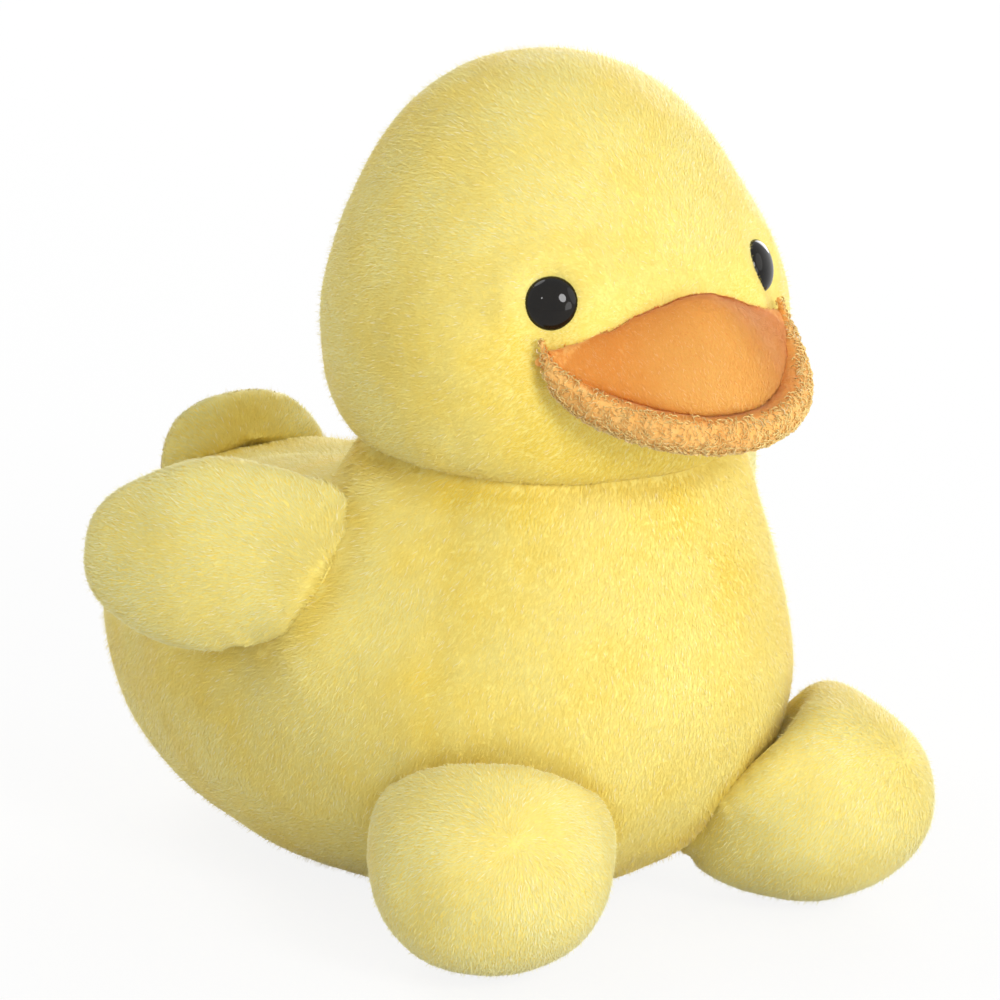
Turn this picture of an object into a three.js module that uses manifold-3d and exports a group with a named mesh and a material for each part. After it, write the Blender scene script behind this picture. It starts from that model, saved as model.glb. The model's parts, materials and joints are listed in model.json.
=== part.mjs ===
// A sitting plush duck: sewn plush skins over stuffing and pellets, with a padded two-part bill.
// The toy faces -Y, its right side is -X and +Z is up. Sizes are millimetres and angles are degrees.
// Heights are taken from the surface that it sits on, and places along Y from the upright line
// through the middle of the head, until the last lines centre the toy over its box.
import * as THREE from 'three'
import Module from 'manifold-3d'

const wasm = await Module()
wasm.setup()

// Fabric, seams and resting faces
const plushThickness = 2.4
const seamGap = 0.3
const fillingGap = 0.6
const flatDepth = 0.5

// Neck: the top of the body is a ball on which the hollow underside of the head turns and nods
const neckBallRadius = 31
const neckBallHeight = 48.8
const neckSetBack = 2
const neckBallGap = 0.55
const neckHoleRadius = 19
const neckThreadRadius = 0.5
const neckThreadRingRadius = 23.5

// Body
const bodyHalfWidth = 43.5
const bodyFrontReach = 34
const bodyBackReach = 90
const shoulderRise = 11
const pouchHeight = 21
const pouchCloth = 0.8
const pouchMouthRadius = 7

// Head
const headHalfWidth = 33.3
const headFrontReach = 33
const headBackReach = 33
const headWidestRise = 35.7
const headCrownRise = 38.6
const headCrownSetBack = 1.8
const headChinDrop = 21

// Eyes, with a shank that runs through the skin into a locking washer
const eyeRadius = 3.75
const eyeDomeHeight = 3.1
const eyeRimHeight = 0.7
const eyeSunkDepth = 2.5
const eyeTurn = 37
const eyeRise = 10.5
const shankRadius = 1.4
const shankLength = 8.5
const washerRadius = 4.6
const washerThickness = 1.3
const washerStandOff = 2.6

// Bill: a padded dome above a thick soft lip that runs round it from cheek to cheek
const domeHalfWidth = 20
const domeFrontReach = 43
const domeSideReach = 25
const domeBackReach = 16
const domeCrownReach = 34
const domeCrownRise = 10.2
const domeFrontDrop = 4.4
const domeSideLift = 9
const domeUnderDrop = 1.6
const domeCloth = 1.4
const domeHoleRadius = 2.4
const lipHalfWidth = 19.6
const lipFrontReach = 41.5
const lipSideReach = 25
const lipFrontDrop = 6.8
const lipSideLift = 13.6
const lipHalfDepth = 4.6
const lipHalfThickness = 2.7
const lipCloth = 1.2
const lipHoleRadius = 0.9

// Wings
const wingLength = 37.5
const wingTopRise = 16.2
const wingBottomDrop = 13
const wingHalfThickness = 7.4
const wingRootInset = 8.3
const wingRootSetBack = 4.5
const wingRootRise = 2
const wingSweep = 60
const wingLift = 1
const wingSeamLean = 31
const wingFoldTurn = 8
const wingOpenTurn = 30
const wingHeadClearance = 1.6
const wingHoleRadius = 2.4

// Feet
const footTipLength = 20
const footHeelLength = 24
const footHalfWidth = 18
const footHalfHeight = 16
const footMiddleSideInset = 16
const footMiddleFrontInset = 11.5
const footSplay = 36
const footHingeInset = 3.5
const footHingeHeight = 13
const footLiftTurn = 12
const footHoleRadius = 4

// Tail
const tailHeight = 11.5
const tailHalfWidth = 14.5
const tailHalfThickness = 5.6
const tailRootInset = 14
const tailRootDrop = 1.5
const tailLean = 20
const tailSwayTurn = 8
const tailHoleRadius = 3

// Outline of the body from below the floor face up to the shoulder, as shares of the shoulder's
// height, the half width, the front reach and the back reach
const bodyOutlineShares = [
  [0, 0.36, -0.1, 0.49],
  [0.025, 0.485, 0.12, 0.63],
  [0.066, 0.61, 0.32, 0.735],
  [0.131, 0.735, 0.51, 0.83],
  [0.213, 0.84, 0.67, 0.9],
  [0.311, 0.923, 0.81, 0.95],
  [0.426, 0.98, 0.925, 0.98],
  [0.541, 1, 0.99, 1],
  [0.639, 0.985, 1, 0.99],
  [0.721, 0.945, 0.99, 0.956],
  [0.795, 0.885, 0.965, 0.862],
  [0.861, 0.825, 0.926, 0.73],
  [0.918, 0.765, 0.882, 0.57],
  [0.964, 0.72, 0.84, 0.44]
]
const bodyFlatShares = [0.27, -0.25, 0.43]
const bodyWidestShare = 0.455
const bodyMiddleShare = 0.541

// Outline of the head from its widest place up to the crown: height and width
const crownOutlineShares = [
  [0.1, 0.988],
  [0.2, 0.965],
  [0.3, 0.93],
  [0.42, 0.87],
  [0.54, 0.804],
  [0.65, 0.73],
  [0.75, 0.645],
  [0.84, 0.542],
  [0.92, 0.405],
  [0.975, 0.24]
]

// Outline of a wing along its length: how far it has swelled above, below and to both faces
const wingOutlineShares = [
  [-0.14, 0.66, 0.5, 0.42],
  [0, 0.92, 0.78, 0.74],
  [0.08, 0.98, 0.88, 0.85],
  [0.21, 1, 0.96, 0.95],
  [0.36, 0.98, 1, 1],
  [0.54, 0.88, 1, 1],
  [0.72, 0.7, 0.88, 0.92],
  [0.86, 0.48, 0.7, 0.76],
  [0.945, 0.26, 0.48, 0.53]
]
const wingTipShare = 0.99
const wingHoleShare = 0.33
const wingFlatShare = 0.78

// Outline of the tail up its height: half width and half thickness
const tailOutlineShares = [
  [-0.7, 0.9, 0.9],
  [0, 1.1, 1],
  [0.3, 1.04, 0.95],
  [0.57, 0.91, 0.84],
  [0.79, 0.72, 0.68],
  [0.93, 0.44, 0.46]
]

const footWidthTaperShare = 0.1
const footHoleShare = 4.5
const chinRoundShare = 3
const lipBowShare = 1.5
const domeBowShare = 1.8
const lipSmileShare = 0.55
const lipEndShare = 0.5
const domeSideShare = 3
const domeRidgeShare = 1.5

// How finely the round shapes are divided
const bodySides = 28
const innerSides = 18
const limbSides = 20
const innerLimbSides = 14
const headSteps = 7
const footSteps = 5
const lipSteps = 16
const lipSides = 10
const domeSides = 24
const domeSteps = 5
const ballSides = 36
const eyeSides = 16
const threadSides = 6
const sweepSteps = 3
const outerCapSteps = 5
const innerCapSteps = 3

const radians = Math.PI / 180
const shoulderHeight = neckBallHeight + shoulderRise
const headMiddleHeight = neckBallHeight + headWidestRise
const neckPivot = new THREE.Vector3(0, neckSetBack, neckBallHeight)
const footMiddleSide = bodyHalfWidth - footMiddleSideInset
const footMiddleFront = bodyFrontReach - footMiddleFrontInset
const tailRootHeight = neckBallHeight - tailRootDrop
const tailRoot = new THREE.Vector3(0, bodyBackReach - tailRootInset, tailRootHeight)

// Materials
function finish(colour, roughness) {
  return new THREE.MeshStandardMaterial({ color: colour, roughness, metalness: 0 })
}
const yellowPlush = finish(0xf2e07c, 0.95)
const orangePlush = finish(0xf0ac52, 0.95)
const whiteFibre = finish(0xf1efe6, 1)
const clearPellets = finish(0xe4e2da, 0.5)
const pouchFabric = finish(0xdedbd0, 0.9)
const blackEye = finish(0x14110e, 0.08)
const whitePlastic = finish(0xe8e6df, 0.45)
const goldThread = finish(0xd9a83c, 0.85)

// Closes a stack of rings of points into one solid with a point at each end, faces outwards
function loft(rings, firstPoint, lastPoint) {
  const around = rings[0].length
  const points = [firstPoint, ...rings.flat(), lastPoint]
  const last = points.length - 1
  const faces = []
  for (let i = 0; i < around; i++) {
    const next = (i + 1) % around
    faces.push([0, 1 + next, 1 + i])
    for (let r = 0; r + 1 < rings.length; r++) {
      const low = 1 + r * around
      const high = low + around
      faces.push([low + i, low + next, high + next], [low + i, high + next, high + i])
    }
    const top = last - around
    faces.push([top + i, top + next, last])
  }
  return solid(points, faces)
}

// A solid from its points and triangles, whichever way the triangles were listed
function solid(points, faces) {
  const square = new THREE.Vector3()
  const volume = faces.reduce((sum, [a, b, c]) =>
    sum + points[a].dot(square.crossVectors(points[b], points[c])), 0)
  const outward = volume < 0 ? faces.map(([a, b, c]) => [a, c, b]) : faces
  const geometry = new THREE.BufferGeometry().setFromPoints(points)
  geometry.setIndex(outward.flat())
  const mesh = new wasm.Mesh({
    numProp: 3,
    vertProperties: new Float32Array(geometry.attributes.position.array),
    triVerts: new Uint32Array(geometry.index.array)
  })
  return new wasm.Manifold(mesh)
}

function cut(body, ...tools) {
  return tools.reduce((left, tool) => left.subtract(tool), body)
}

function piece(name, body, material) {
  const { vertProperties, triVerts } = body.getMesh()
  const geometry = new THREE.BufferGeometry()
  geometry.setAttribute('position', new THREE.BufferAttribute(new Float32Array(vertProperties), 3))
  geometry.setIndex(new THREE.BufferAttribute(new Uint32Array(triVerts), 1))
  geometry.computeVertexNormals()
  const mesh = new THREE.Mesh(geometry, material)
  mesh.name = name
  return mesh
}

// Hidden inner surfaces, which have shrunk, keep every other ring
function ringsFor(rings, grow) {
  return grow < 0 ? rings.filter((_, i) => i % 2 === 0 || i === rings.length - 1) : rings
}

// A level ring whose front half and back half reach different distances from its widest place
function levelRing(height, halfWidth, front, back, widest, sides) {
  return Array.from({ length: sides }, (_, i) => {
    const angle = 2 * Math.PI * i / sides
    const ahead = Math.cos(angle)
    const y = ahead > 0 ? widest - (widest + front) * ahead : widest - (back - widest) * ahead
    return new THREE.Vector3(halfWidth * Math.sin(angle), y, height)
  })
}

// A ball made of level rings, used to cut hollows
function ball(centre, radius, sides) {
  const rings = []
  const steps = sides / 2
  for (let i = 1; i < steps; i++) {
    const rise = -Math.PI / 2 + Math.PI * i / steps
    const r = radius * Math.cos(rise)
    rings.push(levelRing(centre.z + radius * Math.sin(rise), r, r - centre.y, r + centre.y, centre.y, sides))
  }
  const up = new THREE.Vector3(0, 0, radius)
  return loft(rings, centre.clone().sub(up), centre.clone().add(up))
}

// A round rod from one point to another, used to cut holes
function rod(from, to, radius, sides = innerSides) {
  const axis = to.clone().sub(from)
  const turn = new THREE.Quaternion().setFromUnitVectors(new THREE.Vector3(0, 0, 1), axis.clone().normalize())
  const ring = end => Array.from({ length: sides }, (_, i) => {
    const angle = 2 * Math.PI * i / sides
    const spoke = new THREE.Vector3(radius * Math.cos(angle), radius * Math.sin(angle), 0)
    return spoke.applyQuaternion(turn).add(end)
  })
  return loft([ring(from), ring(to)], from, to)
}

// A block below or above a level, wide enough to trim any piece
const blockReach = bodyHalfWidth + bodyFrontReach + bodyBackReach
function levelBlock(height, above) {
  const far = height + (above ? blockReach : -blockReach)
  const corners = level => [[1, 1], [-1, 1], [-1, -1], [1, -1]].map(([x, y]) =>
    new THREE.Vector3(x * blockReach, y * blockReach, level))
  const middle = level => new THREE.Vector3(0, 0, level)
  return loft([corners(height), corners(far)], middle(height), middle(far))
}

// The same solid turned about a line through a pivot
function turned(body, pivot, axis, degrees) {
  const matrix = new THREE.Matrix4().makeTranslation(pivot)
    .multiply(new THREE.Matrix4().makeRotationAxis(axis, degrees * radians))
    .multiply(new THREE.Matrix4().makeTranslation(pivot.clone().negate()))
  return body.transform(matrix.elements)
}

// Cuts a limb clear of what carries it, in every position between the limits of its seam
function cutClear(limb, carrier, pivot, axis, least, most) {
  for (let i = 0; i <= sweepSteps; i++) {
    const angle = least + (most - least) * i / sweepSteps
    limb = limb.subtract(turned(carrier, pivot, axis, -angle))
  }
  return limb
}

// Body: a soft egg that is pressed flat where it sits, narrows to the shoulder and ends in the neck ball
function bodyForm(grow) {
  const sides = grow < 0 ? innerSides : bodySides
  const middle = shoulderHeight * bodyMiddleShare
  const lift = height => height + grow * (height - middle) / middle
  const ringAt = (height, width, front, back) => {
    const from = bodyFrontReach * front + grow
    const to = bodyBackReach * back + grow
    const widest = (from + to) * bodyWidestShare - from
    return levelRing(lift(height), bodyHalfWidth * width + grow, from, to, widest, sides)
  }
  const outline = [ringAt(-flatDepth, ...bodyFlatShares)]
  for (const [height, ...shares] of bodyOutlineShares) {
    outline.push(ringAt(height * shoulderHeight, ...shares))
  }
  const rings = ringsFor(outline, grow)
  const radius = neckBallRadius + grow
  const capSteps = grow < 0 ? innerCapSteps : outerCapSteps
  const start = Math.asin(shoulderRise / neckBallRadius)
  for (let i = 0; i < capSteps; i++) {
    const rise = start + (Math.PI / 2 - start) * i / capSteps
    const r = radius * Math.cos(rise)
    const height = neckBallHeight + radius * Math.sin(rise)
    rings.push(levelRing(height, r, r - neckSetBack, r + neckSetBack, neckSetBack, sides))
  }
  const bottom = new THREE.Vector3(0, (rings[0][0].y + rings[0][sides / 2].y) / 2, rings[0][0].z)
  const top = new THREE.Vector3(0, neckSetBack, neckBallHeight + radius)
  return loft(rings, bottom, top)
}

// Head: a tall dome over full cheeks
function headForm(grow) {
  const sides = grow < 0 ? innerSides : bodySides
  const ringAt = (rise, wide) => {
    const setBack = Math.max(0, rise / headCrownRise) * headCrownSetBack
    return levelRing(headMiddleHeight + rise, (headHalfWidth + grow) * wide,
      (headFrontReach + grow) * wide - setBack, (headBackReach + grow) * wide + setBack, setBack, sides)
  }
  const rings = []
  for (let i = 1 - headSteps; i <= 0; i++) {
    const angle = Math.PI / 2 * i / headSteps
    const drop = (-Math.sin(angle)) ** (2 / chinRoundShare)
    rings.push(ringAt(-drop * (headChinDrop + grow), Math.cos(angle) ** (2 / chinRoundShare)))
  }
  for (const [rise, wide] of crownOutlineShares) rings.push(ringAt(rise * (headCrownRise + grow), wide))
  const chin = new THREE.Vector3(0, 0, headMiddleHeight - headChinDrop - grow)
  const crown = new THREE.Vector3(0, headCrownSetBack, headMiddleHeight + headCrownRise + grow)
  const pocket = ball(neckPivot, neckBallRadius + neckBallGap - grow, grow < 0 ? innerSides : ballSides)
  return cut(loft(ringsFor(rings, grow), chin, crown), pocket)
}

// Eye: turned about its own axis, with the back of the dome at the origin and the shank behind it
function eyeForm(grow) {
  const outline = [
    [0, -shankLength - grow],
    [shankRadius + grow, -shankLength - grow],
    [shankRadius + grow, -grow],
    [eyeRadius + grow, -grow],
    [eyeRadius + grow, eyeRimHeight]
  ]
  const domeSteps = 5
  for (let i = 1; i <= domeSteps; i++) {
    const angle = Math.PI / 2 * i / domeSteps
    outline.push([(eyeRadius + grow) * Math.cos(angle),
      eyeRimHeight + (eyeDomeHeight - eyeRimHeight + grow) * Math.sin(angle)])
  }
  return spun(outline, eyeSides)
}

function washerForm(grow) {
  const depth = Math.max(plushThickness - eyeSunkDepth, 0) + washerStandOff
  return spun([
    [shankRadius + seamGap - grow, -depth + grow],
    [shankRadius + seamGap - grow, -depth - washerThickness - grow],
    [washerRadius + grow, -depth - washerThickness - grow],
    [washerRadius + grow, -depth + grow]
  ], eyeSides, true)
}

// Spins an outline about Z, either from point to point on the axis or as a closed ring
function spun(outline, sides, open = false) {
  const ring = ([radius, height]) => Array.from({ length: sides }, (_, i) => {
    const angle = 2 * Math.PI * i / sides
    return new THREE.Vector3(radius * Math.cos(angle), radius * Math.sin(angle), height)
  })
  if (!open) {
    const ends = outline.filter(([radius]) => Math.abs(radius) < seamGap / eyeSides)
    const first = new THREE.Vector3(0, 0, ends[0][1])
    const last = new THREE.Vector3(0, 0, ends[1][1])
    return loft(outline.filter(p => !ends.includes(p)).map(ring), first, last)
  }
  const rings = outline.map(ring)
  const points = rings.flat()
  const faces = []
  for (let r = 0; r < rings.length; r++) {
    const low = r * sides
    const high = (r + 1) % rings.length * sides
    for (let i = 0; i < sides; i++) {
      const next = (i + 1) % sides
      faces.push([low + i, low + next, high + next], [low + i, high + next, high + i])
    }
  }
  return solid(points, faces)
}

// Sets a turned piece on the cheek, its axis square to the head
function onCheek(body, side) {
  const rise = Math.asin(eyeRise / headCrownRise)
  const turn = eyeTurn * radians
  const out = new THREE.Vector3(
    side * Math.sin(turn) / headHalfWidth * Math.cos(rise),
    -Math.cos(turn) / headFrontReach * Math.cos(rise),
    Math.sin(rise) / headCrownRise).normalize()
  const place = new THREE.Vector3(
    side * headHalfWidth * Math.sin(turn) * Math.cos(rise),
    -headFrontReach * Math.cos(turn) * Math.cos(rise),
    headMiddleHeight + eyeRise)
  place.addScaledVector(out, -eyeSunkDepth)
  const matrix = new THREE.Matrix4().makeRotationFromQuaternion(
    new THREE.Quaternion().setFromUnitVectors(new THREE.Vector3(0, 0, 1), out)).setPosition(place)
  return body.transform(matrix.elements)
}

// Bill dome: a cushion between a curved seam line, a crown and a shallow underside
function domeForm(grow) {
  const crown = new THREE.Vector3(0, -domeCrownReach, headMiddleHeight + domeCrownRise + grow)
  const under = new THREE.Vector3(0, -domeSideReach, headMiddleHeight - domeFrontDrop - domeUnderDrop - grow)
  const seam = Array.from({ length: domeSides }, (_, i) => {
    const angle = 2 * Math.PI * i / domeSides
    const ahead = Math.cos(angle)
    const reach = ahead > 0 ? (domeFrontReach - domeSideReach + grow) * ahead ** domeBowShare
      : (domeSideReach - domeBackReach + grow) * ahead
    const height = -domeFrontDrop + domeSideLift * Math.abs(Math.sin(angle)) ** domeSideShare
    return new THREE.Vector3((domeHalfWidth + grow) * Math.sin(angle), -domeSideReach - reach,
      headMiddleHeight + height)
  })
  const towards = (end, share, lift) => seam.map(p => new THREE.Vector3(
    p.x + (end.x - p.x) * share, p.y + (end.y - p.y) * share, p.z + (end.z - p.z) * lift))
  const rings = []
  for (let i = domeSteps - 1; i > 0; i -= 2) {
    const angle = Math.PI / 2 * i / domeSteps
    rings.push(towards(under, 1 - Math.cos(angle), Math.sin(angle)))
  }
  rings.push(seam)
  for (let i = 1; i < domeSteps; i++) {
    const angle = Math.PI / 2 * i / domeSteps
    rings.push(towards(crown, 1 - Math.cos(angle), Math.sin(angle) ** domeRidgeShare))
  }
  return loft(rings, under, crown)
}

// Bill lip: a soft roll that follows a smile, deepest and lowest in front
function lipForm(grow) {
  const rings = []
  const middle = angle => new THREE.Vector3(
    lipHalfWidth * Math.sin(angle),
    -lipSideReach - (lipFrontReach - lipSideReach) * Math.cos(angle) ** lipBowShare,
    headMiddleHeight - lipFrontDrop + lipSideLift * (1 - Math.cos(angle) ** lipSmileShare))
  for (let i = 1; i < lipSteps; i++) {
    const angle = Math.PI * (i / lipSteps - 1 / 2)
    const centre = middle(angle)
    const out = new THREE.Vector3(centre.x, centre.y + domeBackReach, 0).normalize()
    const full = lipEndShare + (1 - lipEndShare) * Math.cos(angle)
    rings.push(Array.from({ length: lipSides }, (_, k) => {
      const around = 2 * Math.PI * k / lipSides
      return centre.clone().addScaledVector(out, (lipHalfDepth * full + grow) * Math.cos(around))
        .setZ(centre.z + (lipHalfThickness * full ** lipEndShare + grow) * Math.sin(around))
    }))
  }
  const corner = side => new THREE.Vector3(side * (lipHalfWidth + lipHalfThickness * lipEndShare + grow),
    -lipSideReach, headMiddleHeight - lipFrontDrop + lipSideLift)
  return loft(rings, corner(-1), corner(1))
}

// A wing's section has flatter faces and fuller edges than an ellipse
function flattened(across) {
  return Math.sign(across) * Math.abs(across) ** wingFlatShare
}

// Wing: a rounded paddle that points out and back from its seam on the shoulder
function wingForm(side, grow) {
  const sweep = wingSweep * radians
  const lift = wingLift * radians
  const along = new THREE.Vector3(side * Math.cos(sweep), Math.sin(sweep), Math.tan(lift)).normalize()
  const through = new THREE.Vector3(-Math.sin(sweep), side * Math.cos(sweep), 0)
  const up = new THREE.Vector3().crossVectors(through, along).normalize()
  if (up.z < 0) up.negate()
  const root = wingRoot(side)
  const middleOf = share => root.clone().addScaledVector(along, wingLength * share)
  const sides = grow < 0 ? innerLimbSides : limbSides
  const rings = wingOutlineShares.map(([share, above, below, thick]) => {
    const length = share > 0 ? share * (1 + grow / wingLength) : share
    return Array.from({ length: sides }, (_, i) => {
      const angle = 2 * Math.PI * i / sides
      const rise = Math.sin(angle)
      const height = rise > 0 ? wingTopRise * above + grow : wingBottomDrop * below + grow
      return middleOf(length).addScaledVector(up, height * rise)
        .addScaledVector(through, (wingHalfThickness * thick + grow) * flattened(Math.cos(angle)))
    })
  })
  const inner = middleOf(wingOutlineShares[0][0])
  const [, tipAbove, tipBelow] = wingOutlineShares[wingOutlineShares.length - 1]
  const tip = middleOf(wingTipShare).addScaledVector(along, grow)
    .addScaledVector(up, (wingTopRise * tipAbove - wingBottomDrop * tipBelow) / 2)
  return loft(ringsFor(rings, grow), inner, tip)
}

function wingRoot(side) {
  return new THREE.Vector3(side * (bodyHalfWidth - wingRootInset), neckSetBack + wingRootSetBack,
    neckBallHeight + wingRootRise)
}

// Wings turn about the line of their seam, which leans in with the shoulder
function wingAxis(side) {
  const lean = wingSeamLean * radians
  return new THREE.Vector3(-side * Math.sin(lean), 0, Math.cos(lean))
}

// Foot: an egg lying on the floor that points out and forward
function footForm(side, grow) {
  const splay = footSplay * radians
  const along = new THREE.Vector3(side * Math.sin(splay), -Math.cos(splay), 0)
  const across = new THREE.Vector3(Math.cos(splay), side * Math.sin(splay), 0)
  const middle = new THREE.Vector3(side * footMiddleSide, -footMiddleFront, footHalfHeight - flatDepth)
  const sides = grow < 0 ? innerLimbSides : limbSides
  const rings = []
  for (let i = 1 - footSteps; i < footSteps; i++) {
    const angle = Math.PI / 2 * i / footSteps
    const reach = (i < 0 ? footHeelLength : footTipLength) + grow
    const wide = Math.cos(angle)
    const taper = 1 + footWidthTaperShare * Math.sin(angle)
    rings.push(Array.from({ length: sides }, (_, k) => {
      const around = 2 * Math.PI * k / sides
      return middle.clone().addScaledVector(along, reach * Math.sin(angle))
        .addScaledVector(across, (footHalfWidth + grow) * wide * taper * Math.cos(around))
        .setZ(middle.z + (footHalfHeight + grow) * wide * Math.sin(around))
    }))
  }
  const heel = middle.clone().addScaledVector(along, -footHeelLength - grow)
  const tip = middle.clone().addScaledVector(along, footTipLength + grow)
  return cut(loft(ringsFor(rings, grow), heel, tip), levelBlock(-grow, false))
}

function footPivot(side) {
  const splay = footSplay * radians
  return new THREE.Vector3(side * (footMiddleSide - footHingeInset * Math.sin(splay)),
    -footMiddleFront + footHingeInset * Math.cos(splay), footHingeHeight)
}

function footAxis(side) {
  const splay = footSplay * radians
  return new THREE.Vector3(-Math.cos(splay), -side * Math.sin(splay), 0)
}

// Tail: a short rounded fan that stands up from the back and leans away from the head
function tailForm(grow) {
  const lean = tailLean * radians
  const up = new THREE.Vector3(0, Math.sin(lean), Math.cos(lean))
  const through = new THREE.Vector3(0, Math.cos(lean), -Math.sin(lean))
  const middleOf = height => tailRoot.clone().addScaledVector(up, height)
  const sides = grow < 0 ? innerLimbSides : limbSides
  const rings = tailOutlineShares.map(([share, wide, thick]) =>
    Array.from({ length: sides }, (_, i) => {
      const angle = 2 * Math.PI * i / sides
      return middleOf(tailHeight * share + (share > 0 ? grow * share : 0))
        .setX((tailHalfWidth * wide + grow) * Math.cos(angle))
        .addScaledVector(through, (tailHalfThickness * thick + grow) * Math.sin(angle))
    }))
  return loft(rings, middleOf(tailHeight * tailOutlineShares[0][0]), middleOf(tailHeight + grow))
}
const tailAxis = new THREE.Vector3(-1, 0, 0)

// A limb's skin is open at its seam, where the filling went in, and its filling stands clear of the skin
function sewnLimb(name, fillName, form, clear, hole, fillMaterial) {
  const skin = cut(clear(form(0), seamGap), clear(form(-plushThickness), seamGap + plushThickness), hole)
  const filling = clear(form(-plushThickness - fillingGap), seamGap + fillingGap + plushThickness)
  return [piece(name, skin, yellowPlush), piece(fillName, filling, fillMaterial)]
}

const duck = new THREE.Group()

// Body skin, with the neck hole in the top of the ball
const neckHole = rod(neckPivot, neckPivot.clone().setZ(neckBallHeight + 2 * neckBallRadius), neckHoleRadius)
const threadGroove = aroundNeck(spun(threadOutline(neckThreadRadius + seamGap), bodySides, true))
const floorBlock = levelBlock(0, false)
duck.add(piece('body_skin',
  cut(bodyForm(0), floorBlock, bodyForm(-plushThickness), neckHole, threadGroove),
  yellowPlush))

// Thread of the neck seam, drawn tight in a groove round the ball
function threadOutline(radius) {
  const height = Math.sqrt(neckBallRadius ** 2 - neckThreadRingRadius ** 2)
  const sink = neckThreadRadius + seamGap
  const centreRadius = neckThreadRingRadius * (1 - sink / neckBallRadius)
  const centreHeight = height * (1 - sink / neckBallRadius)
  return Array.from({ length: threadSides }, (_, i) => {
    const angle = 2 * Math.PI * i / threadSides
    return [centreRadius + radius * Math.cos(angle), centreHeight + radius * Math.sin(angle)]
  })
}

function aroundNeck(body) {
  return body.transform(new THREE.Matrix4().makeTranslation(neckPivot).elements)
}
const neckThread = aroundNeck(spun(threadOutline(neckThreadRadius), bodySides, true))
duck.add(piece('neck_seam_thread', neckThread, goldThread))

// Filling of the body: a pouch of pellets below, loose fibre above it
const bodyInside = gap => bodyForm(-plushThickness - gap)
const underStuffing = levelBlock(pouchHeight + seamGap, false)
duck.add(piece('body_stuffing', cut(bodyInside(fillingGap), underStuffing), whiteFibre))
const pouchMiddle = new THREE.Vector3(0, (bodyBackReach - bodyFrontReach) / 2, pouchHeight / 2)
const pouchMouth = rod(pouchMiddle, pouchMiddle.clone().setZ(shoulderHeight), pouchMouthRadius)
const pouchHollow = cut(bodyInside(fillingGap + pouchCloth), levelBlock(pouchHeight - pouchCloth, true))
duck.add(piece('pellet_pouch',
  cut(bodyInside(fillingGap), levelBlock(pouchHeight, true), pouchHollow, pouchMouth), pouchFabric))
duck.add(piece('pellets', cut(bodyInside(2 * fillingGap + pouchCloth),
  levelBlock(pouchHeight - pouchCloth - seamGap, true)), clearPellets))

// Head skin, with its neck hole and with seats and holes for the eyes
const sides = [-1, 1]
const eyeSeats = sides.map(side => onCheek(eyeForm(seamGap), side))
const washerSeats = sides.map(side => onCheek(washerForm(seamGap), side))
duck.add(piece('head_skin', cut(headForm(0), headForm(-plushThickness), neckHole, ...eyeSeats), yellowPlush))
duck.add(piece('head_stuffing',
  cut(headForm(-plushThickness - fillingGap), ...eyeSeats, ...washerSeats), whiteFibre))
for (const side of sides) {
  const hand = side < 0 ? 'right' : 'left'
  duck.add(piece(`${hand}_eye`, onCheek(eyeForm(0), side), blackEye))
  duck.add(piece(`${hand}_eye_washer`, onCheek(washerForm(0), side), whitePlastic))
}

// Bill: the dome and the lip lie against the face, and each is a skin round its own padding
const face = headForm(seamGap)
const upperBill = cut(domeForm(0), face)
const domeHollow = cut(domeForm(-domeCloth), headForm(seamGap + domeCloth))
const domePadding = cut(domeForm(-domeCloth - 2 * fillingGap), headForm(seamGap + domeCloth + fillingGap))
const domeHoleEnd = new THREE.Vector3(0, -domeSideReach, headMiddleHeight + domeCrownRise / 2)
const domeHole = rod(domeHoleEnd.clone().setY(0), domeHoleEnd.clone().setY(-domeCrownReach), domeHoleRadius)
duck.add(piece('upper_bill_skin', cut(upperBill, domeHollow, domeHole), orangePlush))
duck.add(piece('upper_bill_padding', domePadding, whiteFibre))
const lip = cut(lipForm(0), face, domeForm(fillingGap))
const lipHollow = cut(lipForm(-lipCloth), headForm(seamGap + lipCloth), domeForm(fillingGap + lipCloth))
const lipPadding = cut(lipForm(-lipCloth - fillingGap), headForm(seamGap + lipCloth + fillingGap),
  domeForm(2 * fillingGap + lipCloth))
const lipHoleEnd = new THREE.Vector3(0, -lipFrontReach, headMiddleHeight - lipFrontDrop)
const lipHole = rod(lipHoleEnd, lipHoleEnd.clone().setY(-headFrontReach), lipHoleRadius)
duck.add(piece('lower_bill_skin', cut(lip, lipHollow, lipHole), orangePlush))
duck.add(piece('lower_bill_padding', lipPadding, whiteFibre))

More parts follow.
